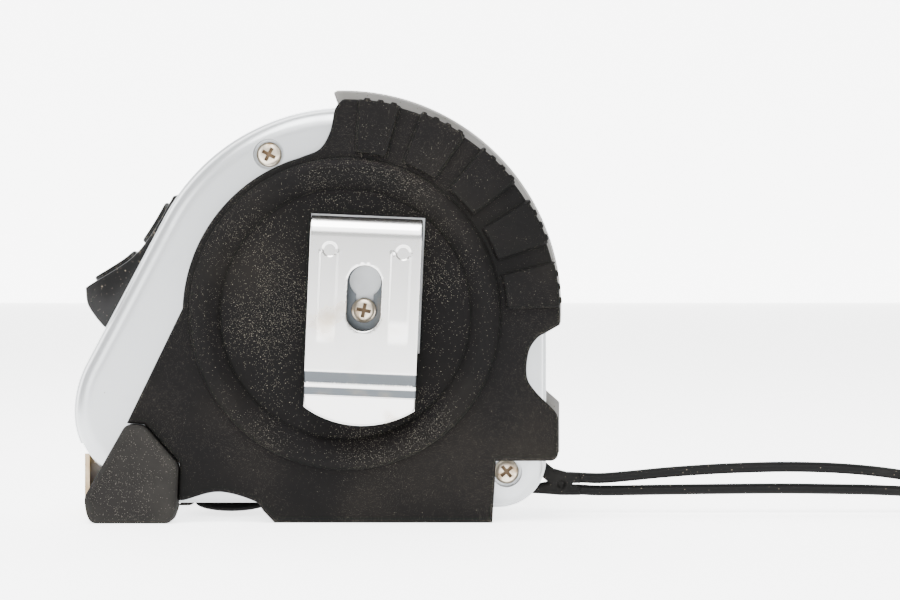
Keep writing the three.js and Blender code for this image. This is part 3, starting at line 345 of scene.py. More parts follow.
def plate(name: str, outline: Sequence[Point], holes: Sequence[Sequence[Point]], fill: Points,
          front: Surface, back: Surface, sharp: float = 40) -> Object:
    """A closed sheet over a flat outline, each face shaped by its own surface.

    Args:
        name: the piece's name.
        outline: outer edge, flat.
        holes: inner edges.
        fill: further flat points that the mesh passes.
        front: maps flat points to the front face.
        back: maps flat points to the back face.
        sharp: angle in degrees above which an edge stays crisp.

    Returns:
        The solid piece.
    """
    coords: list[Vector] = []
    edges: list[tuple[int, int]] = []
    for loop in [outline, *holes]:
        start = len(coords)
        coords += [Vector(p) for p in loop]
        edges += [(start + i, start + (i + 1) % len(loop)) for i in range(len(loop))]
    coords += [Vector(p) for p in fill]
    flat, _, triangles, *_ = delaunay_2d_cdt(coords, edges, [], 0, 1e-6)
    flat = np.array([tuple(v) for v in flat])
    tris = np.array([list(t) for t in triangles])
    middle = flat[tris].mean(axis=1)
    keep = inside(middle, outline)
    for hole in holes:
        keep &= ~inside(middle, hole)
    tris = tris[keep]
    used = np.unique(tris)
    number = np.full(len(flat), -1)
    number[used] = np.arange(len(used))
    tris, flat = number[tris], flat[used]
    count = len(flat)
    faces = [list(t) for t in tris] + [[c + count for c in t[::-1]] for t in tris]
    directed = {(int(t[k]), int(t[(k + 1) % 3])) for t in tris for k in range(3)}
    faces += [[b, a, a + count, b + count] for a, b in directed if (b, a) not in directed]
    return new_piece(name, np.vstack([front(flat), back(flat)]), faces, sharp)


def cut(piece: Object, tool: Object, how: Cut = Cut.AWAY,
        sharp: float = 40) -> None:
    """Cuts a piece by a tool solid, or joins them, and smooths the result.

    Args:
        piece: the piece that changes.
        tool: the solid it meets, which is used up.
        how: away or onto.
        sharp: angle in degrees above which an edge stays crisp.
    """
    change = piece.modifiers.new("cut", "BOOLEAN")
    change.object = tool
    change.operation = how.value
    change.solver = "EXACT"
    graph = bpy.context.evaluated_depsgraph_get()
    mesh = bpy.data.meshes.new_from_object(piece.evaluated_get(graph))
    piece.modifiers.clear()
    old, name = piece.data, piece.data.name
    piece.data = mesh
    bpy.data.meshes.remove(old)
    mesh.name = name
    mesh.shade_smooth()
    mesh.set_sharp_from_angle(angle=math.radians(sharp))
    bpy.data.objects.remove(tool, do_unlink=True)


def block(low: Sequence[float], high: Sequence[float], place: Matrix = Matrix()) -> Object:
    """A cutting box between two corners, turned and moved by place."""
    corners = placed([(x, y, z) for x in (low[0], high[0]) for y in (low[1], high[1])
                      for z in (low[2], high[2])], place)
    faces = [(0, 1, 3, 2), (4, 6, 7, 5), (0, 4, 5, 1), (2, 3, 7, 6), (0, 2, 6, 4), (1, 5, 7, 3)]
    return new_piece("tool", corners, faces)


def peg(x: float, z: float, radius: float, y0: float, y1: float) -> Object:
    """A cutting cylinder along Y."""
    turn = Matrix.Translation((x, 0, z)) @ Matrix.Rotation(math.radians(-90), 4, "X")
    return lathe("tool", [(0, y0), (radius, y0), (radius, y1), (0, y1)], 64, turn)


# ---- surface effects shared by the finishes ---------------------------------------------


def maths(tree: Tree, operation: str, a: Socket | float, b: Socket | float = 0.0) -> Socket:
    """A math node on two sockets or numbers."""
    node = tree.nodes.new("ShaderNodeMath")
    node.operation = operation
    for slot, value in zip(node.inputs, (a, b)):
        if isinstance(value, (int, float)):
            slot.default_value = value
        else:
            tree.links.new(value, slot)
    return node.outputs[0]


class Effects:
    """Node groups that more than one finish uses."""

    def __init__(self) -> None:
        """Builds every group once."""
        self.specks = self._specks()
        self.grain = self._grain()
        self.patches = self._patches()
        self.brushing = self._brushing()

    @staticmethod
    def _group(name: str, inputs: dict[str, float], outputs: Sequence[str]) -> Tree:
        """A group with number inputs and outputs, and its two end nodes."""
        group = bpy.data.node_groups.new(name, "ShaderNodeTree")
        for label, value in inputs.items():
            slot = group.interface.new_socket(label, in_out="INPUT", socket_type=NUMBER)
            slot.default_value = value
        for label in outputs:
            group.interface.new_socket(label, in_out="OUTPUT", socket_type=NUMBER)
        group.nodes.new("NodeGroupInput").name = "in"
        group.nodes.new("NodeGroupOutput").name = "out"
        return group

    @staticmethod
    def _noise(group: Tree, detail: float, squeeze: float = 1.0) -> bpy.types.Node:
        """A noise texture at the group's scale, drawn out along Z by a squeeze under 1."""
        noise = group.nodes.new("ShaderNodeTexNoise")
        noise.inputs["Detail"].default_value = detail
        place = group.nodes.new("ShaderNodeTexCoord").outputs["Object"]
        if squeeze != 1:
            stretch = group.nodes.new("ShaderNodeMapping")
            stretch.inputs["Scale"].default_value = (1.0, 1.0, squeeze)
            group.links.new(place, stretch.inputs["Vector"])
            place = stretch.outputs["Vector"]
        group.links.new(place, noise.inputs["Vector"])
        group.links.new(group.nodes["in"].outputs["Scale"], noise.inputs["Scale"])
        return noise

    def _specks(self) -> Tree:
        """Settled dust: small round flecks, gathered in drifts."""
        group = self._group("dust_specks", {"Scale": 1500.0, "Amount": 0.4}, ["Mask"])
        source, sink = group.nodes["in"], group.nodes["out"]
        place = group.nodes.new("ShaderNodeTexCoord").outputs["Object"]
        cells = group.nodes.new("ShaderNodeTexVoronoi")
        cells.inputs["Randomness"].default_value = 1.0
        drift = group.nodes.new("ShaderNodeTexNoise")
        drift.inputs["Scale"].default_value = 55.0
        drift.inputs["Detail"].default_value = 4.0
        group.links.new(place, cells.inputs["Vector"])
        group.links.new(place, drift.inputs["Vector"])
        group.links.new(source.outputs["Scale"], cells.inputs["Scale"])
        shade = group.nodes.new("ShaderNodeSeparateColor")
        group.links.new(cells.outputs["Color"], shade.inputs[0])
        gather = group.nodes.new("ShaderNodeMapRange")
        gather.interpolation_type = "SMOOTHSTEP"
        gather.inputs["From Min"].default_value = 0.4
        gather.inputs["From Max"].default_value = 0.66
        gather.inputs["To Min"].default_value = 0.12
        group.links.new(drift.outputs["Fac"], gather.inputs["Value"])
        chance = maths(group, "MULTIPLY", source.outputs["Amount"], gather.outputs["Result"])
        chosen = maths(group, "LESS_THAN", shade.outputs[0], chance)
        size = maths(group, "MULTIPLY", shade.outputs[1], 0.34)
        near = maths(group, "LESS_THAN", cells.outputs["Distance"], size)
        mask = maths(group, "MULTIPLY", chosen, near)
        group.links.new(mask, sink.inputs["Mask"])
        return group

    def _grain(self) -> Tree:
        """Fine even grain, as a height."""
        group = self._group("fine_grain", {"Scale": 3000.0}, ["Height"])
        noise = self._noise(group, 3.0)
        noise.inputs["Roughness"].default_value = 0.6
        group.links.new(noise.outputs["Fac"], group.nodes["out"].inputs["Height"])
        return group

    def _patches(self) -> Tree:
        """Broad soft patches, for handling marks and stains."""
        group = self._group("soft_patches", {"Scale": 90.0, "Low": 0.45, "High": 0.7}, ["Mask"])
        source = group.nodes["in"]
        noise = self._noise(group, 5.0)
        spread = group.nodes.new("ShaderNodeMapRange")
        spread.interpolation_type = "SMOOTHSTEP"
        group.links.new(noise.outputs["Fac"], spread.inputs["Value"])
        group.links.new(source.outputs["Low"], spread.inputs["From Min"])
        group.links.new(source.outputs["High"], spread.inputs["From Max"])
        group.links.new(spread.outputs["Result"], group.nodes["out"].inputs["Mask"])
        return group

    def _brushing(self) -> Tree:
        """Fine lines along Z, left by rolling and handling."""
        group = self._group("brushed_lines", {"Scale": 900.0}, ["Height"])
        noise = self._noise(group, 2.0, 0.06)
        group.links.new(noise.outputs["Fac"], group.nodes["out"].inputs["Height"])
        return group


@dataclass(frozen=True)
class Finish:
    """One finish: its colours, sheen, grain, stains and dust."""

    DUST_LAYERS: ClassVar[tuple[Point, ...]] = ((1.0, 1.0), (0.6, 0.14))

    name: str
    slot: str
    colour: Colour
    stain: Colour
    roughness: float
    worn_roughness: float
    metallic: float = 0.0
    stain_scale: float = 90.0
    stain_low: float = 0.5
    stain_high: float = 0.75
    grain_scale: float = 3000.0
    grain_depth: float = 0.1
    grain_reach: float = 0.00004
    dust: float = 0.0
    dust_colour: Colour = (0.42, 0.36, 0.27)
    dust_scale: float = 1500.0
    brushed: bool = False
    shine: float = 0.5

    def build(self, effects: Effects) -> bpy.types.Material:
        """The finish as a material.

        Args:
            effects: the shared node groups.

        Returns:
            The new material.
        """
        material = bpy.data.materials.new(self.name)
        material.use_nodes = True
        tree = material.node_tree
        shader = tree.nodes["Principled BSDF"]
        shader.inputs["Metallic"].default_value = self.metallic
        shader.inputs["Specular IOR Level"].default_value = self.shine
        stains = self.effect(tree, effects.patches, Scale=self.stain_scale,
                             Low=self.stain_low, High=self.stain_high)
        colour = self.blend(tree, stains.outputs["Mask"], self.colour, self.stain)
        colour = self.decorate(tree, colour)
        rough = tree.nodes.new("ShaderNodeMapRange")
        rough.inputs["To Min"].default_value = self.roughness
        rough.inputs["To Max"].default_value = self.worn_roughness
        tree.links.new(stains.outputs["Mask"], rough.inputs["Value"])
        for size, share in self.DUST_LAYERS if self.dust > 0 else ():
            flecks = self.effect(tree, effects.specks, Scale=self.dust_scale * size,
                                 Amount=self.dust * share)
            colour = self.blend(tree, flecks.outputs["Mask"], colour, self.dust_colour)
        relief = effects.brushing if self.brushed else effects.grain
        grain = self.effect(tree, relief, Scale=self.grain_scale)
        bump = tree.nodes.new("ShaderNodeBump")
        bump.inputs["Strength"].default_value = self.grain_depth
        bump.inputs["Distance"].default_value = self.grain_reach
        tree.links.new(grain.outputs["Height"], bump.inputs["Height"])
        tree.links.new(colour, shader.inputs["Base Color"])
        tree.links.new(rough.outputs["Result"], shader.inputs["Roughness"])
        tree.links.new(bump.outputs["Normal"], shader.inputs["Normal"])
        return material

    def decorate(self, tree: Tree, colour: Socket) -> Socket:
        """Further marks on the bare colour. The plain finish has none."""
        return colour

    @staticmethod
    def effect(tree: Tree, group: Tree, **values: float) -> bpy.types.Node:
        """Places a shared group with its own values."""
        node = tree.nodes.new("ShaderNodeGroup")
        node.node_tree = group
        for label, value in values.items():
            node.inputs[label].default_value = value
        return node

    @staticmethod
    def blend(tree: Tree, mask: Socket, low: object,
              high: object) -> Socket:
        """A colour that goes from low to high with a mask."""
        node = tree.nodes.new("ShaderNodeMix")
        node.data_type = "RGBA"
        tree.links.new(mask, node.inputs["Factor"])
        for label, value in ((6, low), (7, high)):
            if isinstance(value, tuple):
                node.inputs[label].default_value = (*value, 1.0)
            else:
                tree.links.new(value, node.inputs[label])
        return node.outputs[2]


@dataclass(frozen=True)
class BladeFinish(Finish):
    """Yellow lacquer with plain graduation lines, without numbers."""

    ink: Colour = (0.02, 0.02, 0.02)
    lines: tuple[tuple[float, float, float], ...] = ((1.0, 0.16, 10.5), (10.0, 0.03, 6.5))

    def decorate(self, tree: Tree, colour: Socket) -> Socket:
        """Millimetre and centimetre lines in from both edges."""
        place = tree.nodes.new("ShaderNodeTexCoord").outputs["Object"]
        split = tree.nodes.new("ShaderNodeSeparateXYZ")
        tree.links.new(place, split.inputs[0])
        across = maths(tree, "ABSOLUTE", split.outputs["Y"])
        for pitch, width, reach in self.lines:
            step = maths(tree, "DIVIDE", split.outputs["X"], pitch * MM)
            line = maths(tree, "LESS_THAN", maths(tree, "FRACT", step), width)
            outer = maths(tree, "GREATER_THAN", across, reach * MM)
            colour = self.blend(tree, maths(tree, "MULTIPLY", line, outer), colour, self.ink)
        return colour


class Workshop:
    """Every finish on the tape measure, and what wears it."""

    FINISHES = (
        Finish("case_silver_paint", "case_silver", (0.44, 0.455, 0.465), (0.38, 0.39, 0.4), 0.3,
               0.42, metallic=0.7, grain_scale=5200, grain_depth=0.12, dust=0.012, dust_scale=1300,
               dust_colour=(0.12, 0.1, 0.08)),
        Finish("grip_black_rubber", "grip_rubber", (0.003, 0.0029, 0.0028), (0.009, 0.0082, 0.007),
               0.7, 0.85, stain_scale=45, stain_low=0.42, stain_high=0.8, grain_scale=2600,
               grain_depth=0.35, grain_reach=0.00006, dust=0.9, dust_scale=7600, shine=0.06,
               dust_colour=(0.1, 0.09, 0.072)),
        Finish("foot_dusty_rubber", "grip_rubber", (0.011, 0.0105, 0.0098), (0.024, 0.0225, 0.02),
               0.8, 0.9, stain_scale=70, stain_low=0.35, stain_high=0.75, grain_scale=2400,
               grain_depth=0.4, grain_reach=0.00006, dust=0.95, dust_scale=7600, shine=0.06,
               dust_colour=(0.11, 0.1, 0.085)),
        Finish("black_satin_plastic", "black_plastic", (0.003, 0.003, 0.003),
               (0.006, 0.0058, 0.0055), 0.3, 0.48, grain_scale=2400, grain_depth=0.12, dust=0.3,
               dust_scale=3400, shine=0.16, dust_colour=(0.13, 0.11, 0.085)),
        Finish("matt_black_plastic", "black_plastic", (0.0012, 0.0012, 0.0012),
               (0.002, 0.002, 0.0019), 0.75, 0.85, grain_scale=2400, grain_depth=0.12, shine=0.02),
        Finish("spine_warm_grey", "spine_grey", (0.15, 0.146, 0.138), (0.1, 0.095, 0.087), 0.6,
               0.75, grain_scale=2400, grain_depth=0.3, dust=0.2, dust_scale=3400, shine=0.2,
               dust_colour=(0.05, 0.042, 0.03)),
        Finish("natural_plastic", "white_plastic", (0.72, 0.71, 0.68), (0.6, 0.58, 0.53), 0.45,
               0.6),
        Finish("clip_bright_steel", "clip_steel", (0.72, 0.715, 0.7), (0.5, 0.44, 0.36), 0.2, 0.36,
               metallic=1.0, stain_scale=120, stain_low=0.56, stain_high=0.78, grain_scale=2600,
               grain_depth=0.08, brushed=True, dust=0.012, dust_scale=1100,
               dust_colour=(0.16, 0.07, 0.03)),
        # A dark copy of the clip steel, used as painted shade: painted dark reflection on the
        # sprung leg's crease bands and painted shadow on the fixed leg.
        Finish("clip_painted_shade_steel", "clip_steel", (0.075, 0.083, 0.09), (0.12, 0.115, 0.105),
               0.3, 0.42, metallic=1.0, stain_scale=260, brushed=True),
        Finish("blued_spring_steel", "spring_steel", (0.26, 0.27, 0.29), (0.2, 0.2, 0.21), 0.34,
               0.5, metallic=1.0, brushed=True),
        BladeFinish("blade_yellow_lacquer", "blade_paint", (0.78, 0.53, 0.05), (0.68, 0.45, 0.06),
                    0.3, 0.45),
        Finish("hook_tarnished_steel", "hook_steel", (0.56, 0.47, 0.34), (0.34, 0.25, 0.15), 0.4,
               0.6, metallic=0.9, stain_low=0.45, stain_high=0.65),
        Finish("screw_worn_nickel", "screw_metal", (0.56, 0.49, 0.39), (0.3, 0.21, 0.12), 0.3, 0.5,
               metallic=0.95, stain_scale=420, stain_low=0.5, stain_high=0.7, grain_scale=2600,
               grain_depth=0.15),
        # Dark brown for the faces inside a screw's cross slot: painted shade in the recess.
        Finish("screw_slot_painted_shade", "screw_metal", (0.1, 0.062, 0.03), (0.05, 0.035, 0.02), 0.6,
               0.8, metallic=0.3),
        Finish("strap_moulded_plastic", "strap_plastic", (0.0035, 0.0035, 0.0035),
               (0.008, 0.0076, 0.007), 0.35, 0.5, grain_scale=2200, grain_depth=0.2, dust=0.22,
               dust_scale=3200, shine=0.06, dust_colour=(0.12, 0.1, 0.075)),
    )

    def __init__(self) -> None:
        """Builds the shared effects and every finish."""
        effects = Effects()
        self.finishes = {f.name: f.build(effects) for f in self.FINISHES}
        first = {f.slot: f.name for f in reversed(self.FINISHES)}
        self.materials = {slot: self.finishes[name] for slot, name in first.items()}

    def dress(self, piece: Object, slot: str, body: str = "case") -> Object:
        """Puts a finish on a piece and makes it ride.

        Args:
            piece: the new piece.
            slot: material slot of the finish.
            body: the body that carries the piece.

        Returns:
            The same piece.
        """
        piece.data.materials.clear()
        piece.data.materials.append(self.materials[slot])
        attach(piece, body)
        LOG.info("built %s", piece.name)
        return piece

    def mark(self, piece: Object, finish: str, test: Callable[[Vector], bool]) -> None:
        """Gives a second finish to the faces whose middles pass a test.

        Args:
            piece: a dressed piece.
            finish: name of the second finish.
            test: tells which face middles, in millimetres, wear it.
        """
        piece.data.materials.append(self.finishes[finish])
        for face in piece.data.polygons:
            if test(face.center / MM):
                face.material_index = len(piece.data.materials) - 1

    def dress_frame(self, frame: dict) -> None:
        """Puts the finishes on the frame's own nodes, by their material slots."""
        for part in frame["record"]["subparts"]:
            piece = frame["nodes"][part["node"]]
            piece.data.materials.clear()
            piece.data.materials.append(self.materials[part["material_slot"]])


# ---- the studio -------------------------------------------------------------------------


@dataclass
class Studio:
    """Camera, floor and lights."""

    distance: float = 0.35
    near_face: float = 0.017
    view_width: float = 0.1485
    sensor: float = 36.0
    look_x: float = 0.0173
    look_z: float = 0.0368
    floor_reach: float = 45.0
    floor_glow: float = 2.7
    back_glow: float = 4.6
    back_y: float = 30.0
    lamps: tuple[tuple[str, tuple[float, float, float], float, float], ...] = (
        ("overhead", (-0.1, -0.25, 0.7), 0.5, 13.0),
        ("left", (-0.6, -0.5, 0.25), 0.4, 3.0),
        ("front_high", (0.05, -0.95, 0.75), 0.7, 9.0),
    )

    def camera(self) -> None:
        """The camera, square to the clip side."""
        data = bpy.data.cameras.new("view")
        data.sensor_width = self.sensor
        data.lens = self.sensor * self.distance / self.view_width
        data.clip_start = 0.01
        data.clip_end = 50
        eye = bpy.data.objects.new("view", data)
        eye.location = (self.look_x, -(self.near_face + self.distance), self.look_z)
        eye.rotation_euler = (math.radians(90), 0, 0)
        bpy.context.scene.collection.objects.link(eye)
        bpy.context.scene.camera = eye

    @staticmethod
    def paper(name: str, glow: float) -> bpy.types.Material:
        """White paper that is lit from behind."""
        paint = bpy.data.materials.new(name)
        paint.use_nodes = True
        shader = paint.node_tree.nodes["Principled BSDF"]
        shader.inputs["Base Color"].default_value = (0.93, 0.93, 0.93, 1)
        shader.inputs["Roughness"].default_value = 0.9
        shader.inputs["Emission Color"].default_value = (1, 1, 1, 1)
        shader.inputs["Emission Strength"].default_value = glow
        return paint

    def sheet(self, name: str, corners: Sequence[Sequence[float]], glow: float) -> None:
        """One flat sheet of the set."""
        mesh = bpy.data.meshes.new(name)
        mesh.from_pydata(corners, [], [(0, 1, 2, 3)])
        mesh.materials.append(self.paper(f"{name}_paper", glow))
        piece = bpy.data.objects.new(name, mesh)
        bpy.context.scene.collection.objects.link(piece)

    def floor(self) -> None:
        """A pale floor on which the object stands, and a bright sheet behind."""
        r, y = self.floor_reach, self.back_y
        self.sheet("floor", [(-r, -r, 0), (r, -r, 0), (r, r, 0), (-r, r, 0)], self.floor_glow)
        self.sheet("backdrop", [(-r, y, -0.1), (r, y, -0.1), (r, y, r), (-r, y, r)], self.back_glow)

    @staticmethod
    def lamp(name: str, place: Sequence[float], aim: Sequence[float], size: float,
             power: float) -> None:
        """A soft square lamp.

        Args:
            name: its name.
            place: where it stands, in metres.
            aim: the point it looks at.
            size: its side.
            power: watts.
        """
        data = bpy.data.lights.new(name, "AREA")
        data.size = size
        data.energy = power
        lamp = bpy.data.objects.new(name, data)
        lamp.location = place
        lamp.rotation_euler = (Vector(aim) - Vector(place)).to_track_quat("-Z", "Y").to_euler()
        bpy.context.scene.collection.objects.link(lamp)

    def lights(self) -> None:
        """A bright sky with three soft lamps."""
        world = bpy.data.worlds.new("studio")
        world.use_nodes = True
        world.node_tree.nodes["Background"].inputs["Color"].default_value = (1, 1, 1, 1)
        world.node_tree.nodes["Background"].inputs["Strength"].default_value = 1.0
        bpy.context.scene.world = world
        middle = (0.0, 0.0, 0.03)
        for name, place, size, power in self.lamps:
            self.lamp(name, place, middle, size, power)


# ---- the strap --------------------------------------------------------------------------


@dataclass
class Strap:
    """The moulded wrist strap: its eye round the rear boss and its loop of one strand."""

    eye_centre: Point = (26.7, 8.3)
    eye_radius: float = 2.7
    strand: float = 1.8
    half_depth: float = 1.1
    end_x: float = 39.5
    upper_z: float = 6.08
    lower_z: float = 4.0
    joint_gap: float = 0.3
    ridge: float = 0.16
    ridges: Point = (25.0, 155.0)
    sides: int = 28
    squareness: float = 3.2
    route: tuple[tuple[float, float, float], ...] = (
        (0, 0, 6.08), (3.7, 0, 6.0), (8.2, 0, 6.35), (14.6, 0, 6.97), (21.2, 0, 7.45),
        (27.2, 0, 7.75), (35.6, 0, 7.95), (43.9, 0, 7.75), (51.2, 0.2, 7.15), (58.2, 1.1, 6.1),
        (66.2, 3.0, 4.6), (75.2, 5.6, 2.9), (84.2, 8.0, 1.6), (93.2, 9.8, 1.05),
        (102.2, 10.4, 0.95), (110.2, 9.0, 0.95), (116.7, 4.6, 0.95), (118.6, 0, 0.95),
        (116.7, -4.6, 0.95), (110.2, -8.7, 0.95), (102.2, -9.6, 0.95), (93.2, -8.4, 1.0),
        (84.2, -6.0, 1.3), (75.2, -3.5, 2.0), (66.2, -1.5, 2.85), (58.2, -0.4, 3.6),
        (51.2, 0, 3.95), (43.9, 0, 4.1), (35.6, 0, 4.2), (27.2, 0, 4.15), (14.6, 0, 4.0),
        (4.2, 0, 3.85), (0, 0, 4.0),
    )

    def centreline(self) -> Points:
        """The loop's smooth centreline, from yoke back to yoke."""
        start = self.end_x + self.joint_gap
        rise = smooth([(start + x, z) for x, _, z in self.route], 320)
        sway = smooth([(start + x, y) for x, y, _ in self.route], 320)
        return np.array([(a[0], b[1], a[1]) for a, b in zip(rise, sway)])

    def loop(self, shop: Workshop) -> None:
        """The strand swept along its route, with a moulding ridge on both flanks."""
        line = self.centreline()
        radius = self.strand / 2 - 0.01
        section = []
        for i in range(self.sides):
            angle = 2 * math.pi * i / self.sides
            spread = sum(abs(f(angle)) ** self.squareness for f in (math.cos, math.sin))
            reach = radius * min(spread ** (-1 / self.squareness), 1.09)
            lift = sum(math.exp(-((math.degrees(angle) - at) / 9) ** 2) for at in self.ridges)
            section.append(((reach + self.ridge * lift) * math.cos(angle), reach * math.sin(angle)))
        rings = []
        for i, point in enumerate(line):
            along = line[min(i + 1, len(line) - 1)] - line[max(i - 1, 0)]
            along /= np.linalg.norm(along)
            flank = np.cross(along, (0, 0, 1))
            flank /= np.linalg.norm(flank)
            up = np.cross(flank, along)
            rings.append(np.array([point + flank * a + up * b for a, b in section]))
        piece = shop.dress(loft("wrist_strap_loop", rings, 60), "strap_plastic")
        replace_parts(piece, "strap_loop")

    def eye(self, shop: Workshop) -> None:
        """The flat eye with its two arms, the yoke and its dimple."""
        x, z = self.eye_centre
        outer, half = self.eye_radius + self.strand, self.strand / 2
        upper, lower, end = self.upper_z + half, self.lower_z - half, self.end_x
        tip = end + self.joint_gap
        outline = dense([
            *arc((x, z), outer, 52, 268, 60), (end - 3, lower), (tip, lower),
            (tip, self.lower_z + half), (end - 1, self.lower_z + half),
            (end - 1, self.upper_z - half), (tip, self.upper_z - half),
            (tip, upper), (end - 2, upper + 0.1), (end - 4.3, upper + 0.7), (end - 6, upper + 2.1),
        ], 0.35)
        floor = lower + self.strand
        hole = dense([*arc((x, z), self.eye_radius, 52, 268, 50), (x + 5.4, floor + 0.1),
                      (x + 7.5, floor + 0.5)], 0.35)
        dimple = (end - 3.0, (upper + lower) / 2)

        def face(sign: int) -> Surface:
            """One flat face, eased at its edges, with the dimple."""
            def surface(flat: Points) -> Points:
                """Lifts the flat points to the face."""
                edge = np.minimum(edge_distance(flat, outline), edge_distance(flat, hole))
                away = np.hypot(flat[:, 0] - dimple[0], flat[:, 1] - dimple[1])
                depth = self.half_depth - eased_drop(edge, 0.35)
                depth = depth - 0.45 * (1 - step_up(away, 0.5, 0.85))
                return at_depth(flat, sign * depth)
            return surface

        fill = np.vstack([filling(outline, 0.45, (0.08, 0.2, 0.38)),
                          *[arc(dimple, r, 0, 350, 35) for r in (0.5, 0.65, 0.85)]])
        fill = fill[~inside(fill, hole)]
        piece = plate("wrist_strap_eye", outline, [hole], fill, face(-1), face(1), 60)
        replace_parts(shop.dress(piece, "strap_plastic"), "strap_eye")


# ---- the case ---------------------------------------------------------------------------


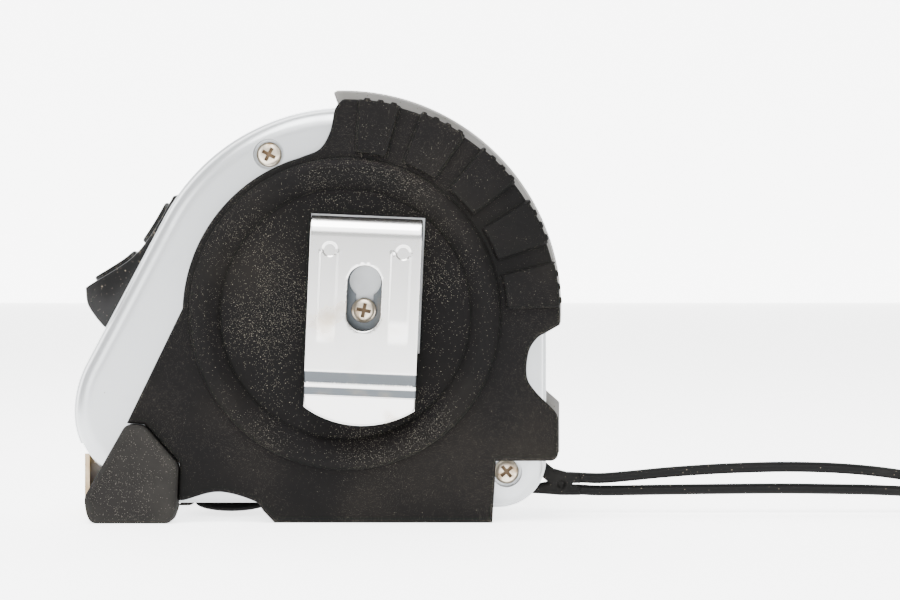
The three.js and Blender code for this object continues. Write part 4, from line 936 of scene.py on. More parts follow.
@dataclass
class Case:
    """The two silver shells."""

    hub: float = 34.5
    radius: float = 34.6
    seat_depth: float = 2.0
    rear_wall: float = 33.4
    corner: float = 8.0
    floor: float = 2.1
    front_tilt: float = 28.0
    nose_radius: float = 18.0
    nose_height: float = 17.9
    chin_radius: float = 12.5
    mouth_low: float = 8.8
    mouth_top: float = 12.8
    mouth_depth: float = 5.2
    mouth_step: float = 0.7
    half_width: float = 15.15
    wall: float = 1.9
    seam: float = 0.05
    edge: float = 2.8
    edge_inset: float = 0.5
    seat_angles: tuple[float, float] = (-4.5, 92.5)
    screw_recess: float = 2.55
    recess_depth: float = 1.8
    upper_screw: Point = (-12.81, 61.0)
    rear_screw: Point = (26.7, 8.3)
    clip_screw: Point = (3.1, 35.1)
    brake_back: float = 20.7
    arch_half: float = 8.4
    arch_rise: float = 1.0
    well_radius: float = 6.8
    well_top: float = 6.2
    clip_tilt: float = 2.4
    clip_shank: float = 1.25
    lock_slot: tuple[float, float, float] = (2.3, -21.7, -3.7)
    strap_slot: tuple[float, float, float] = (1.4, 3.5, 13.1)

    def __post_init__(self) -> None:
        """Works out where the nose, the chin and the front wall stand."""
        tilt = math.radians(self.front_tilt)
        rise = self.nose_height - self.hub
        self.nose_x = (self.radius - self.nose_radius - rise * math.sin(tilt)) / -math.cos(tilt)
        self.chin_x = self.nose_x - self.nose_radius + self.chin_radius
        drop = (self.nose_height - self.mouth_low) / self.chin_radius
        self.chin_end = 180 + math.degrees(math.asin(drop))
        self.front = (self.chin_x + self.chin_radius * math.cos(math.radians(self.chin_end))
                      + self.mouth_step)

    def outline(self, inset: float) -> Points:
        """The side outline moved inward, always with the same number of points."""
        seat = self.radius - self.seat_depth - inset
        start, top = self.seat_angles
        end_z = self.hub + (self.radius - self.seat_depth) * math.sin(math.radians(start))
        end = math.degrees(math.asin((end_z - self.hub) / seat))
        slope = 180 - self.front_tilt
        centre = (0.0, self.hub)
        return np.array([
            (self.front + inset, self.floor + inset),
            *arc((self.rear_wall - self.corner, self.floor + self.corner), self.corner - inset,
                 -90, 0, 20),
            (self.rear_wall - inset, end_z),
            *arc(centre, seat, end, top, 70),
            *arc(centre, self.radius - inset, top, slope, 56),
            *arc((self.nose_x, self.nose_height), self.nose_radius - inset, slope, 180, 20)[:-1],
            *arc((self.chin_x, self.nose_height), self.chin_radius - inset, 180, self.chin_end, 18),
            (self.front + inset, self.mouth_low),
        ])

    def stacked(self, name: str, side: Side, layers: Sequence[Point]) -> Object:
        """A loft of the outline through (y, inset) layers on one side."""
        rings = []
        for y, inset in layers:
            rings.append(at_depth(self.outline(inset), side.value * y))
        return loft(name, rings, 32)

    def rounding(self) -> list[Point]:
        """(y, inset) of the rounded edge, out to the flat side face."""
        top = self.half_width - self.edge
        return [(top + self.edge * math.sin(a), self.edge_inset + self.edge * (1 - math.cos(a)))
                for a in np.radians(np.linspace(0, 90, 11))]

    def profile(self) -> list[Point]:
        """(y, inset) of the outer skin: middle band, groove, rounded edge and side face."""
        top = self.half_width - self.edge
        groove = [(top - 0.9, 0.0), (top - 0.72, 0.05), (top - 0.62, 0.2), (top - 0.58, 0.85),
                  (top - 0.12, 0.85), (top - 0.08, self.edge_inset + 0.1)]
        return [(self.seam, 0.0), *groove, *self.rounding(),
                (self.half_width, self.edge_inset + self.edge + 0.5)]

    def body_block(self, side: Side, grow: float) -> Object:
        """The whole half as a solid block, to cut the rubber to it."""
        top = self.half_width - self.edge
        rise = [(y + grow, inset - grow) for y, inset in self.rounding()]
        return self.stacked("tool", side, [(-1.0, -grow), (top, -grow), *rise])

    def slope_top(self) -> Vector:
        """Where the round front turns into the straight slope, in millimetres."""
        tilt = math.radians(self.front_tilt)
        return Vector((-self.radius * math.cos(tilt), 0, self.hub + self.radius * math.sin(tilt)))

    def slope_frame(self) -> Matrix:
        """The slope's own frame: -X out of the case and +Z up the slope."""
        turn = Matrix.Rotation(math.radians(self.front_tilt), 4, "Y")
        return Matrix.Translation(self.slope_top()) @ turn

    def clip_frame(self) -> Matrix:
        """The belt clip's own frame, at its screw."""
        x, z = self.clip_screw
        return Matrix.Translation((x, 0, z)) @ Matrix.Rotation(
            math.radians(self.clip_tilt), 4, "Y")

    def build(self, shop: Workshop) -> None:
        """Both shells, each opened for the mouth, the lock, the brake and the strap."""
        inner = self.half_width - self.wall
        mouth = inner - 0.2
        brake = self.front + self.brake_back
        (lock_half, lock_low, lock_high), (strap_half, strap_low, strap_high) = (
            self.lock_slot, self.strap_slot)
        for side in Side:
            layers = [(inner, self.wall + 1.0), (inner - 1.0, self.wall), (self.seam, self.wall),
                      *self.profile()]
            shell = self.stacked(f"shell_{side.name.lower()}_side", side, layers)
            tools = [
                block((-80, -mouth, -1), (self.front + self.mouth_depth, mouth, self.mouth_top)),
                block((-2, -lock_half, lock_low), (self.wall + 1, lock_half, lock_high),
                      self.slope_frame()),
                block((self.rear_screw[0], -strap_half, strap_low),
                      (self.rear_wall + 2, strap_half, strap_high)),
                block((brake - self.arch_half, -20, -1),
                      (brake + self.arch_half, 20, self.floor + self.arch_rise)),
                lathe("tool", [(0, -1), (self.well_radius, -1), (self.well_radius, self.well_top),
                               (0, self.well_top)], 72, Matrix.Translation((brake, 0, 0))),
            ]
            if side is Side.CLIP:
                tools += [peg(*at, self.screw_recess, -20, -self.half_width + self.recess_depth)
                          for at in (self.upper_screw, self.rear_screw)]
                tools.append(peg(*self.clip_screw, self.clip_shank, -20, 0))
            for tool in tools:
                cut(shell, tool, sharp=32)
            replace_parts(shop.dress(shell, "case_silver"), f"case_{side.name.lower()}_side")


# ---- rubber -----------------------------------------------------------------------------


@dataclass
class Rubber:
    """Grips, feet, sole and the two spine strips."""

    case: Case
    thickness: float = 1.9
    proud: float = 0.9
    ring_outer: float = 25.7
    ring_inner: float = 20.8
    ring_height: float = 1.5
    dish: float = 0.6
    pad_height: float = 0.8
    pads: tuple[Point, ...] = ((75.0, 86.5), (55.9, 69.2), (37.5, 50.4), (19.1, 31.9), (1.8, 14.0))
    tooth_pitch: float = 3.6
    tooth_height: float = 0.32
    spine_half: float = 6.2
    foot_thickness: float = 3.4
    foot_lead: float = 2.0
    round_edge: float = 0.55
    marks: int = 5
    pocket_half: float = 9.45
    pocket_range: Point = (-6.8, 15.7)

    def foot_outline(self, gap: float) -> list[Point]:
        """A front foot's outline: a house shape with a blunt top."""
        f = self.case.front - self.foot_lead - gap
        return [(f + 1.3, 0.0), (f + 14.3 + gap * 2, 0.0), (f + 15.2 + gap * 2, 2.4),
                (f + 15.5 + gap * 2, 9.6 + gap / 2), (f + 9.8 + gap, 16.1 + gap),
                (f + 6.9 + gap, 16.3 + gap), (f, 4.2), (f + 0.5, 1.2)]

    def back_radius(self, angle: float) -> float:
        """The grip's rim radius at an angle, with its teeth."""
        rim = self.case.radius + self.proud
        for low, high in self.pads:
            if low <= angle <= high:
                phase = ((angle - low) % self.tooth_pitch) / self.tooth_pitch
                return rim + (self.tooth_height if 0.3 < phase < 0.75 else 0.0)
        between = self.pads[-1][0] < angle < self.pads[0][1]
        return rim - (0.25 if between else 0.0)

    def grip_outline(self) -> list[Point]:
        """The side outline of a grip, from beside the front foot round the back."""
        foot = self.foot_outline(0.15)
        left = self.case.front - self.foot_lead + 16.2
        right = left + 11.7
        base = self.case.rear_screw[0] - 2.4
        bumper, shelf = self.case.radius + 0.6, self.case.rear_screw[1] + 1.9
        hub, top = self.case.hub, self.case.radius + self.case.hub
        ring = self.ring_outer + 1.2
        waist = [(bumper, shelf + 7.1), (bumper - 0.7, shelf + 8.4), (bumper - 3.7, shelf + 11.4),
                 (bumper - 5.2, shelf + 14.0), (bumper - 4.9, shelf + 18.0),
                 (bumper - 3.5, shelf + 20.3), (bumper - 2.0, shelf + 21.2)]
        turn = math.radians(106)
        sweep = [(-0.4, top + 0.9), (-1.7, top - 0.7), (-2.5, top - 4.4), (-4.2, top - 7.3),
                 (ring * math.cos(turn), hub + ring * math.sin(turn))]
        start = math.degrees(math.asin(-1.8 / (self.case.radius + self.proud)))
        rim = []
        for angle in np.arange(start, 90.6, 0.4):
            r = self.back_radius(float(angle))
            rim.append((r * math.cos(math.radians(angle)), hub + r * math.sin(math.radians(angle))))
        arch = smooth([(left, 3.7), ((left + right) / 2, 5.1), (right, 3.6), (right + 1.6, 1.9),
                       (right + 3.4, 0.0)], 40)
        return [(foot[2][0], 3.7), *arch, (base, 0.0), (base + 0.6, shelf),
                *arc((bumper - 1.3, shelf + 1.3), 1.3, -90, 0, 10), *smooth(waist, 50), *rim,
                *smooth(sweep, 40)[1:], *arc((0, hub), ring, 110, 178, 60), *foot[5:2:-1]]

    def relief(self, flat: Points, outline: Sequence[Point]) -> Points:
        """Height of the grip's face over the parting plane, with ring, dish and pads."""
        face = self.case.half_width + self.thickness
        r = np.hypot(flat[:, 0], flat[:, 1] - self.case.hub)
        angle = np.degrees(np.arctan2(flat[:, 1] - self.case.hub, flat[:, 0]))
        top = self.ring_height
        height = np.interp(
            r,
            (self.ring_inner - 0.2, self.ring_inner + 0.15, self.ring_inner + 2.0,
             self.ring_inner + 2.5, self.ring_outer - 1.3, self.ring_outer - 0.25,
             self.ring_outer + 0.1),
            (-self.dish, 0.1, top - 0.15, top, top, top * 0.55, 0.0))
        for low, high in self.pads:
            half = (high - low) / 2
            off = np.radians(np.abs(angle - (low + high) / 2) - half) * r
            height = height + self.pad_height * (1 - step_up(off, -0.3, 0.05)) * step_up(
                r, self.ring_outer + 0.75, self.ring_outer + 1.15)
        return face + height - eased_drop(edge_distance(flat, outline), self.round_edge)

    def detail_points(self) -> Points:
        """Mesh points along the ring and the pads, where the face changes height."""
        hub = (0.0, self.case.hub)
        rings = (self.ring_inner - 0.2, self.ring_inner + 0.15, self.ring_inner + 1.1,
                 self.ring_inner + 2.0, self.ring_inner + 2.5, self.ring_outer - 1.3,
                 self.ring_outer - 0.7, self.ring_outer - 0.25, self.ring_outer + 0.1,
                 self.ring_outer + 0.75, self.ring_outer + 0.95, self.ring_outer + 1.15)
        points = [np.array(arc(hub, r, 0, 358.6, 250)) for r in rings]
        for low, high in self.pads:
            for edge, sign in ((low, 1), (high, -1)):
                for off in (-0.05, 0.08, 0.2, 0.32):
                    rs = np.arange(self.ring_outer + 1.0, self.case.radius + 0.6, 0.45)
                    turn = np.radians(edge) + sign * off / rs
                    points.append(np.column_stack([rs * np.cos(turn), hub[1] + rs * np.sin(turn)]))
        return np.vstack(points)

    def grips(self, shop: Workshop) -> None:
        """Both grips, each cut to the shell that it sits on."""
        outline = dense(self.grip_outline(), 0.5)
        fill = np.vstack([filling(outline, 1.0, (0.1, 0.25, 0.42, 0.65)), self.detail_points()])
        fill = fill[inside(fill, outline) & (edge_distance(fill, outline) > 0.08)]
        seam = self.spine_half + 0.1
        for side in Side:

            def front(flat: Points, sign: int = side.value) -> Points:
                """The moulded face."""
                return at_depth(flat, sign * self.relief(flat, outline))

            def back(flat: Points, sign: int = side.value) -> Points:
                """The flat edge at the spine."""
                return at_depth(flat, sign * seam)

            name = side.name.lower()
            grip = plate(f"rubber_grip_{name}_side", outline, [], fill, front, back, 35)
            cut(grip, self.case.body_block(side, 0.04), sharp=35)
            if side is Side.CLIP:
                low, high = self.pocket_range
                cut(grip, block((-self.pocket_half, -22, low),
                                (self.pocket_half, 1 - self.case.half_width, high),
                                self.case.clip_frame()), sharp=35)
            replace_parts(shop.dress(grip, "grip_rubber"), f"grip_{side.name.lower()}_side")

    def feet(self, shop: Workshop) -> None:
        """The two raised front feet, with a soft rim and a row of plain marks."""
        outline = dense(rounded_corners(self.foot_outline(0), 0.9), 0.35)
        fill = filling(outline, 0.4, (0.1, 0.25, 0.45, 0.75, 1.0, 1.3, 1.6))
        thick = self.case.half_width + self.foot_thickness
        mouth = self.case.half_width - self.case.wall - 0.1
        f = self.case.front - self.foot_lead
        for side in Side:

            def front(flat: Points, sign: int = side.value) -> Points:
                """The face: a raised rim round a shallow field with five short marks."""
                edge = edge_distance(flat, outline)
                height = thick - eased_drop(edge, 0.7) - 0.28 * step_up(edge, 1.0, 1.5)
                for i in range(self.marks):
                    x = f + 4.2 + 1.75 * i
                    mark = (1 - step_up(np.abs(flat[:, 0] - x), 0.28, 0.5)) * (
                        1 - step_up(np.abs(flat[:, 1] - 7.4), 0.9 if i % 2 else 1.3, 1.6))
                    height = height + 0.16 * mark
                return at_depth(flat, sign * height)

            def back(flat: Points, sign: int = side.value) -> Points:
                """The inner face, level with the mouth's side."""
                return at_depth(flat, sign * mouth)

            name = f"front_foot_block_{side.name.lower()}"
            foot = plate(name, outline, [], fill, front, back, 50)
            cut(foot, self.case.body_block(side, 0.04), sharp=50)
            shop.dress(foot, "grip_rubber")
            shop.mark(foot, "foot_dusty_rubber", lambda p: True)
            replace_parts(foot, f"front_foot_{side.name.lower()}_side")

    def sole(self, shop: Workshop) -> None:
        """The tread between the grips, with cross grooves."""
        low = self.case.front - self.foot_lead + 31.5
        high = self.case.rear_screw[0] - 2.4
        half = self.spine_half + 0.05
        outline = dense([(low, -half), (high, -half), (high, half), (low, half)], 0.6)

        def under(flat: Points) -> Points:
            """The tread's face on the floor."""
            groove = 1 - step_up(np.abs((flat[:, 0] - low) % 3.6 - 1.8), 0.3, 0.5)
            z = 0.45 * groove + eased_drop(edge_distance(flat, outline), 0.35)
            return np.column_stack([flat[:, 0], flat[:, 1], z])

        def upper(flat: Points) -> Points:
            """The face on the case."""
            return np.column_stack([flat, np.full(len(flat), self.case.floor - 0.05)])

        fill = filling(outline, 0.5, (0.15, 0.35))
        piece = plate("sole_tread", outline, [], fill, under, upper, 50)
        shop.dress(piece, "grip_rubber")

    def spines(self, shop: Workshop) -> None:
        """The crowned strip over the back and the short one at the rear."""
        hub, lean, crown = self.case.hub, 0.9, self.case.radius + 2.7
        inner = self.case.radius - self.case.seat_depth + 0.05
        half = self.spine_half
        wide = math.sin(math.radians(80))
        across = [(-half, False), *[(half * math.sin(math.radians(a)) / wide, True)
                                    for a in range(-80, 81, 10)], (half, False)]
        rings = []
        for angle in np.linspace(-4.4, 92.4, 120):
            a = math.radians(float(angle))
            end = min(1.0, (92.9 - angle) / 1.2, (angle + 4.9) / 1.2)
            ring = []
            for y, out in across:
                outer = crown - 0.5 * (y / half) ** 6 - 0.7 * (1 - math.sqrt(max(0.0, end)))
                cx, cz = (-lean, hub + lean) if out else (0.0, hub)
                r = outer if out else (inner if angle < 91.5 else self.case.radius + 0.05)
                ring.append((cx + r * math.cos(a), y, cz + r * math.sin(a)))
            rings.append(np.array(ring))
        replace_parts(shop.dress(loft("spine_inlay_upper", rings, 35), "spine_grey"), "spine_upper")
        bend = self.case.corner + self.case.floor
        low, high = bend + 0.7, bend + 11.5
        face, outer = self.case.rear_wall + 0.05, self.case.radius + 1.3
        side = rounded_corners([(face, low), (outer, low), (outer, high - 2.1), (face, high)], 0.3)
        rings = [np.array([(x, y, z) for x, z in side]) for y in np.linspace(-half, half, 9)]
        strip = loft("spine_inlay_lower", rings, 35)
        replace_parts(shop.dress(strip, "spine_grey"), "spine_lower")

    def build(self, shop: Workshop) -> None:
        """Every rubber piece and both strips."""
        self.grips(shop)
        self.feet(shop)
        self.sole(shop)
        self.spines(shop)


# ---- the lock and the brake -------------------------------------------------------------


@dataclass
class ThumbLock:
    """The slider on the front slope, with its two ribbed pads."""

    case: Case
    half_width: float = 7.5
    top: float = 4.3
    bottom: float = -21.4
    tip: float = -17.0
    height: float = 6.8
    gap: float = 0.3
    pad_half: float = 6.3
    pad_height: float = 0.8
    pad_ranges: tuple[Point, ...] = ((-5.7, 2.2), (-15.3, -7.8))
    rib_pitch: float = 1.25

    def face(self) -> list[Point]:
        """The concave face, from the tip up to the top."""
        t = self.tip
        return smooth([(-self.height + 0.7, t + 1.3), (-4.2, t + 4.4), (-2.4, t + 7.8),
                       (-1.5, t + 11.0), (-1.05, t + 15.5), (-0.95, self.top - 0.6)], 60)

    def build(self, shop: Workshop) -> None:
        """The slider with its stem, and both pads."""
        place = self.case.slope_frame()
        chin = smooth([(-1.0, self.bottom), (-3.2, self.bottom + 0.9), (-5.3, self.tip - 2.2),
                       (-self.height, self.tip)], 30)
        outline = np.array([(-self.gap, self.bottom), *chin, *self.face(), (-self.gap, self.top)])
        pull = outline[:, 1] - (self.bottom + self.top) / 2
        thick = np.clip(-outline[:, 0] - self.gap, 0, None)
        edge = [(1.0, 1.0), (0.985, 0.35), (0.96, 0.1), (0.93, 0.0)]
        rings = []
        for w, inset in [(-w, i) for w, i in edge] + edge[::-1]:
            moved = outline.copy()
            moved[:, 0] += np.minimum(thick * 0.5, 0.5) * inset
            moved[:, 1] -= np.sign(pull) * 0.3 * inset * (np.abs(pull) > 10)
            rings.append(placed([(x, w * self.half_width, z) for x, z in moved], place))
        slider = loft("thumb_slider", rings, 42)
        cut(slider, block((-0.7, -2.0, -21.1), (2.2, 2.0, -12.0), place), Cut.ONTO, sharp=42)
        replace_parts(shop.dress(slider, "black_plastic", "lock"), "thumb_lock")
        for i, (low, high) in enumerate(self.pad_ranges):
            self.pad(shop, place, f"thumb_pad_{i + 1}", low, high)

    def pad(self, shop: Workshop, place: Matrix, name: str, low: float, high: float) -> None:
        """One raised pad that follows the concave face.

        Args:
            shop: the finishes.
            place: the slope's frame.
            name: the pad's name.
            low: where it starts up the slope.
            high: where it ends.
        """
        curve = np.array(self.face())
        order = np.argsort(curve[:, 1])
        xs, zs = curve[order, 0], curve[order, 1]
        half = self.pad_half
        corners = [(-half, low), (half, low), (half, high), (-half, high)]
        outline = dense(rounded_corners(corners, 1.2), 0.3)

        def lifted(flat: Points, height: Points) -> Points:
            """Points a height off the face, in the frame's place."""
            x = np.interp(flat[:, 1], zs, xs)
            lean = np.interp(flat[:, 1] + 0.2, zs, xs) - np.interp(flat[:, 1] - 0.2, zs, xs)
            normal = np.column_stack([-np.full(len(lean), 0.4), lean])
            normal /= np.linalg.norm(normal, axis=1)[:, None]
            px, pz = x + normal[:, 0] * height, flat[:, 1] + normal[:, 1] * height
            return placed(np.column_stack([px, flat[:, 0], pz]), place)

        def front(flat: Points) -> Points:
            """The pad's face: a rim round a field of ribs."""
            edge = edge_distance(flat, outline)
            rib = 0.5 + 0.5 * np.cos(2 * math.pi * (flat[:, 1] - low) / self.rib_pitch)
            field = step_up(edge, 0.55, 0.9) * (0.35 - 0.3 * rib)
            return lifted(flat, self.pad_height - eased_drop(edge, 0.3) - field)

        def back(flat: Points) -> Points:
            """The pad's underside, just in the slider."""
            return lifted(flat, np.full(len(flat), -0.15))

        fill = filling(outline, 0.28, (0.08, 0.2, 0.35, 0.6))
        pad = plate(name, outline, [], fill, front, back, 50)
        shop.dress(pad, "black_plastic", "lock")


@dataclass
class FingerBrake:
    """The shallow dome underneath that a fingertip presses."""

    case: Case
    radius: float = 6.4
    low: float = 0.4
    dome_rise: float = 1.5
    depth: float = 2.1
    stem: float = 1.6
    top: float = 7.9
    travel: float = 1.4
    coil: tuple[Point, Point] = ((4.8, 2.65), (2.8, 6.05))
    coil_turns: float = 3.5
    coil_wire: float = 0.25

    def build(self, shop: Workshop) -> None:
        """The dome and its stem as one turned piece."""
        dome = [(self.radius * math.sin(a), self.low + self.dome_rise * (1 - math.cos(a)))
                for a in np.radians(np.linspace(0, 90, 14))]
        top = self.low + self.depth
        profile = [*dome, (self.radius, top), (self.stem, top), (self.stem, self.top),
                   (0, self.top)]
        place = Matrix.Translation((self.case.front + self.case.brake_back, 0, 0))
        piece = lathe("finger_brake_dome", profile, 72, place)
        shop.dress(piece, "black_plastic", "brake")
        shop.mark(piece, "matt_black_plastic", lambda p: True)
        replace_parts(piece, "finger_brake")
        self.spring(shop)

    def spring(self, shop: Workshop) -> None:
        """The coil over the dome, which closes towards its upper end."""
        (wide, low), (narrow, high) = self.coil
        x, wire, steps = self.case.front + self.case.brake_back, self.coil_wire, 160
        rings = []
        for t in np.linspace(0, 1, steps + 1):
            a = 2 * math.pi * self.coil_turns * float(t)
            r, z = wide + (narrow - wide) * t, low + wire + (high - low - 2 * wire) * t
            rings.append(np.array([(x + (r + wire * math.cos(u)) * math.cos(a),
                                    (r + wire * math.cos(u)) * math.sin(a), z + wire * math.sin(u))
                                   for u in np.radians(np.arange(0, 360, 36))]))
        coil = loft("brake_coil", rings, 50)
        shop.dress(coil, "spring_steel")
        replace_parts(coil, "brake_spring")
        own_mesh(coil)


# ---- the belt clip and the screws -------------------------------------------------------


@dataclass
class BeltClip:
    """The stamped steel clip: a fixed leg with a keyhole and a sprung leg with ribs."""

    BEND_CHORDS: ClassVar[int] = 40
    CREASES: ClassVar[int] = 5

    case: Case
    width: float = 18.3
    sheet: float = 0.8
    top: float = 15.3
    bend: float = 2.7
    pinch_z: float = -10.3
    pinch: float = 1.9
    lip: float = -18.9
    lip_radius: float = 15.9
    base_low: float = -6.5
    slot_half: float = 2.8
    slot_x: float = 0.1
    slot_range: Point = (-3.4, 7.3)
    hole_z: float = 4.8
    hole_radius: float = 2.6
    neck: float = 1.45
    rib_range: Point = (-5.5, 9.6)
    ribs: tuple[Point, ...] = ((-7.5, -4.3), (4.1, 7.6))
    rib_height: float = 0.2
    dimples: tuple[Point, ...] = ((-5.8, 9.7), (6.2, 9.6))
    dimple_rings: tuple[float, ...] = (0.45, 0.9, 1.02, 1.1, 1.18, 1.26, 1.4)
    rib_steps: tuple[float, ...] = (-0.12, 0.0, 0.12, 0.24, 0.36, 0.5)
    base_inset: float = 1.3

    def base_y(self) -> float:
        """Middle of the fixed leg's metal."""
        return -(self.case.half_width + 0.3 + self.sheet / 2)

    def build(self, shop: Workshop) -> None:
        """Both legs."""
        self.fixed_leg(shop)
        self.sprung_leg(shop)

    def fixed_leg(self, shop: Workshop) -> None:
        """The flat leg with its keyhole, on the case."""
        half, place = self.width / 2 - self.base_inset, self.case.clip_frame()
        top = self.top - self.bend - self.sheet / 2 - 0.3
        low = self.base_low
        outline = dense([(-half, low), (half, low), (half, top), (-half, top)], 1.0)
        sweep = math.degrees(math.acos(self.neck / self.hole_radius))
        hole = [*arc((0, self.hole_z), self.hole_radius, -sweep, 180 + sweep, 44),
                *arc((0, 0), self.neck, 180, 360, 24)]

        def face(y: float) -> Surface:
            """A flat face at y."""
            def surface(flat: Points) -> Points:
                """Lifts the flat points to the face."""
                return placed(at_depth(flat, y), place)
            return surface

        y, t = self.base_y(), self.sheet / 2
        fill = filling(outline, 1.4, (0.4,))
        fill = fill[~inside(fill, hole)]
        leg = plate("clip_fixed_leg", outline, [hole], fill, face(y - t), face(y + t), 40)
        # The whole fixed leg wears the dark steel copy, as painted shadow behind the sprung leg.
        shop.mark(shop.dress(leg, "clip_steel"), "clip_painted_shade_steel", lambda p: True)
        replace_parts(leg, "clip_base")

    def side_line(self) -> Points:
        """The sprung leg's middle line in (y, z): bend, front, pinch and flared lip."""
        y, foot = self.base_y(), self.top - self.bend - self.sheet / 2
        front = y - 2 * self.bend
        bend = arc((y - self.bend, foot), self.bend, 0, 180, self.BEND_CHORDS)
        creases = [(front, self.pinch_z + 0.1), (front + 1.4, self.pinch_z - 1.8),
                   (front + 1.52, self.pinch_z - 2.5), (front + self.pinch, self.pinch_z - 3.8),
                   (front + self.pinch - 0.05, self.pinch_z - 4.1), (front + 0.2, self.lip)]
        return np.array([(y, foot - 0.3), *bend, *creases])

    def mesh_rows(self, zero: float, rows: Sequence[float]) -> Points:
        """Mesh points beside the ribs, round the dimples and along the creases.

        Args:
            zero: the flat height of the clip's own zero.
            rows: flat heights of the creases.

        Returns:
            The flat points.
        """
        heights = zero - np.arange(self.rib_range[0] - 0.3, self.rib_range[1], 0.35)
        points = [np.column_stack([np.full(len(heights), edge + sign * off), heights])
                  for rib in self.ribs for edge, sign in zip(rib, (1, -1))
                  for off in self.rib_steps]
        ribs = np.vstack(points)
        for dx, dz in self.dimples:
            away = np.hypot(ribs[:, 0] - dx, zero - ribs[:, 1] - dz)
            ribs = ribs[away > self.dimple_rings[-1] + 0.1]
        half = self.width / 2
        across = np.concatenate([[0.06 - half, 0.14 - half, 0.24 - half],
                                 np.arange(0.55 - half, half - 0.4, 0.4),
                                 [half - 0.24, half - 0.14, half - 0.06]])
        return np.vstack([ribs,
                          *[arc((dx, zero - dz), r, 0, 351, 40) for dx, dz in self.dimples
                            for r in self.dimple_rings],
                          *[np.column_stack([across, np.full(len(across), s)]) for s in rows]])

    def clear_of_rows(self, fill: Points, zero: float, rows: Sequence[float]) -> Points:
        """Which of the even mesh points stand clear of the ribs, dimples and creases."""
        z = zero - fill[:, 1]
        clear = np.ones(len(fill), bool)
        for rib in self.ribs:
            for edge, sign in zip(rib, (1, -1)):
                off = sign * (fill[:, 0] - edge)
                beside = (z > self.rib_range[0] - 0.5) & (z < self.rib_range[1])
                clear &= ~(beside & (off > -0.4) & (off < 0.75))
        for dx, dz in self.dimples:
            clear &= np.hypot(fill[:, 0] - dx, z - dz) > self.dimple_rings[-1] + 0.2
        for row in rows:
            clear &= np.abs(fill[:, 1] - row) > 0.17
        return clear

    def sprung_leg(self, shop: Workshop) -> None:
        """The sheet of the leg, folded along its line."""
        line, place, half = self.side_line(), self.case.clip_frame(), self.width / 2
        along = np.concatenate([[0], np.cumsum(np.linalg.norm(np.diff(line, axis=0), axis=1))])
        foot = self.top - self.bend - self.sheet / 2
        zero = float(along[self.BEND_CHORDS + 1]) + foot
        end = float(along[-1])
        reach = math.degrees(math.asin(half / self.lip_radius))
        lip = arc((0.0, end - self.lip_radius), self.lip_radius, 90 - reach, 90 + reach, 40)
        outline = dense([(-half, 0.0), (half, 0.0), *lip], 0.45)
        low, high = self.slot_range
        r, sx = self.slot_half, self.slot_x
        slot_low, slot_high = zero - low - r, zero - high + r
        slot = dense([*arc((sx, slot_low), r, 0, 180, 30),
                      *arc((sx, slot_high), r, 180, 360, 30)], 0.4)

        def stamped(flat: Points) -> Points:
            """How far the stamping stands out at each point."""
            lift = np.zeros(len(flat))
            z = zero - flat[:, 1]
            fade = step_up(z, self.rib_range[0], self.rib_range[0] + 4) * (
                1 - step_up(z, self.rib_range[1] - 0.3, self.rib_range[1]))
            for left, right in self.ribs:
                away = np.abs(flat[:, 0] - (left + right) / 2) - (right - left) / 2
                lift += self.rib_height * fade * (1 - step_up(away, -0.36, 0.0))
            for dx, dz in self.dimples:
                pressed = 1 - step_up(np.hypot(flat[:, 0] - dx, z - dz), 1.02, 1.26)
                lift = lift * (1 - pressed) - 0.2 * pressed
            return lift

        def sheet_face(offset: float) -> Surface:
            """The sheet's face at an offset from its middle line."""
            def surface(flat: Points) -> Points:
                """Folds the flat points along the line."""
                s = np.clip(flat[:, 1], 0, end)
                y, z = np.interp(s, along, line[:, 0]), np.interp(s, along, line[:, 1])
                dy = np.interp(s + 0.15, along, line[:, 0]) - np.interp(s - 0.15, along, line[:, 0])
                dz = np.interp(s + 0.15, along, line[:, 1]) - np.interp(s - 0.15, along, line[:, 1])
                size = np.hypot(dy, dz)
                edge = np.minimum(edge_distance(flat, outline), edge_distance(flat, slot))
                out = offset - math.copysign(1, offset) * eased_drop(edge, 0.22) + stamped(flat)
                py, pz = y + out * dz / size, z - out * dy / size
                return placed(np.column_stack([flat[:, 0], py, pz]), place)
            return surface

        rim = np.array(slot)
        spine = np.clip(rim[:, 1], slot_high, slot_low)
        ray = rim - np.column_stack([np.full(len(rim), sx), spine])
        ray /= np.linalg.norm(ray, axis=1)[:, None]
        rows = [float(s) + off for s in along[-self.CREASES - 1:-1] for off in (-0.12, 0.0, 0.12)]
        fill = np.vstack([filling(outline, 0.5, (0.06, 0.14, 0.24)),
                          *[rim + ray * grow for grow in (0.06, 0.14, 0.24)]])
        fill = np.vstack([fill[self.clear_of_rows(fill, zero, rows)], self.mesh_rows(zero, rows)])
        fill = fill[~inside(fill, slot) & (edge_distance(fill, slot) > 0.05)]
        t = self.sheet / 2
        leg = plate("clip_sprung_leg", outline, [slot], fill, sheet_face(t), sheet_face(-t), 45)
        shop.dress(leg, "clip_steel", "clip")
        unplace = place.inverted()
        # The two bands along the creases wear the dark steel copy: painted dark reflection where
        # the folds face down into shade.
        painted_shade_bands = [(self.pinch_z - 1.8, self.pinch_z + 0.1), (self.pinch_z - 3.8, self.pinch_z - 2.5)]
        shop.mark(leg, "clip_painted_shade_steel",
                  lambda p: any(low < (unplace @ p).z < high for low, high in painted_shade_bands))
        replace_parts(leg, "clip_leg")


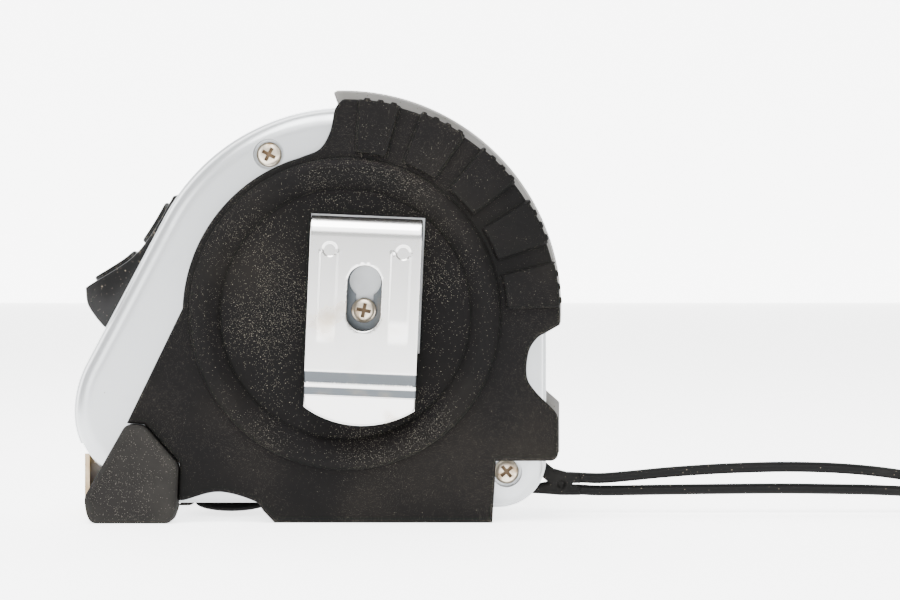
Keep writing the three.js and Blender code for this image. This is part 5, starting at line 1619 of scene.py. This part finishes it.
@dataclass
class Screws:
    """The clip's screw and the two case screws that show."""

    case: Case
    head: float = 2.05
    head_depth: float = 1.3
    shank: float = 1.1
    cross: float = 0.3

    def build(self, shop: Workshop) -> None:
        """Three cross-head screws."""
        sunk = -self.case.half_width + 0.5
        proud = -(self.case.half_width + 2.7)
        self.one(shop, "clip_screw", self.case.clip_screw, proud, 22, 12)
        self.one(shop, "upper_front_screw", self.case.upper_screw, sunk, 24, 28)
        self.one(shop, "rear_lower_screw", self.case.rear_screw, sunk, 24, 50)

    def one(self, shop: Workshop, node: str, at: Point, y: float, length: float,
            turn: float) -> None:
        """One screw.

        Args:
            shop: the finishes.
            node: the frame's node that it stands for.
            at: its place on the side face.
            y: the top of its head.
            length: from the head's top to the tip.
            turn: degrees that its cross is turned.
        """
        h, d = self.head, self.head_depth
        profile = [(0, 0.0), (h * 0.5, 0.03), (h * 0.8, 0.12), (h * 0.95, 0.32), (h, 0.55), (h, d),
                   (self.shank, d), (self.shank, length - 1), (0, length)]
        here = (Matrix.Translation((at[0], y, at[1])) @ Matrix.Rotation(math.radians(-90), 4, "X")
                @ Matrix.Rotation(math.radians(turn), 4, "Z"))
        piece = lathe(f"{node}_turned", profile, 56, here)
        arm, w = h * 0.58, self.cross
        for low, high in (((-arm, -w, -1), (arm, w, 0.75)), ((-w, -arm, -1), (w, arm, 0.75))):
            cut(piece, block(low, high, here), sharp=35)
        shop.dress(piece, "screw_metal")
        back = here.inverted()
        # The faces inside the cross slot are painted dark, as painted shade in the recess.
        shop.mark(piece, "screw_slot_painted_shade", lambda p: (back @ p).z > 0.2 and
                  (back @ p).xy.length < arm * 1.02 and (back @ p).z < 0.9)
        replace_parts(piece, node)


# ---- the blade --------------------------------------------------------------------------


@dataclass
class BladeRun:
    """The stretch of blade that pays out between the mouth and the end of the blade."""

    half: float = 12.4
    start_x: float = -18.5
    end_x: float = -30.0
    level: float = 9.42
    thickness: float = 0.18
    stations: int = 120

    def build(self, shop: Workshop) -> None:
        """A thin strip out of the mouth, cupped more towards its far end."""
        rings = []
        for i in range(self.stations + 1):
            x = self.start_x + (self.end_x - self.start_x) * i / self.stations
            cup = 1.0 * (i / self.stations)
            ys = np.linspace(-self.half, self.half, 13)
            low = [(x, float(y), self.level + cup * (y / self.half) ** 2) for y in ys]
            high = [(x, float(y), self.level + self.thickness + cup * (y / self.half) ** 2)
                    for y in ys[::-1]]
            rings.append(np.array(low + high))
        piece = loft("blade_run", rings, 50)
        piece.data.materials.append(shop.materials["blade_paint"])
        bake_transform(piece)
        LOG.info("built %s", piece.name)


def main() -> None:
    """Builds the tape measure in order and reports each piece."""
    logging.basicConfig(level=logging.INFO, format="%(name)s: %(message)s")
    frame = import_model()
    studio = Studio()
    studio.camera()
    shop = Workshop()
    strap = Strap()
    strap.loop(shop)
    strap.eye(shop)
    shop.dress_frame(frame)
    case = Case()
    case.build(shop)
    Rubber(case).build(shop)
    ThumbLock(case).build(shop)
    FingerBrake(case).build(shop)
    BeltClip(case).build(shop)
    Screws(case).build(shop)
    BladeRun().build(shop)
    studio.floor()
    studio.lights()


if __name__ == "__main__":
    main()
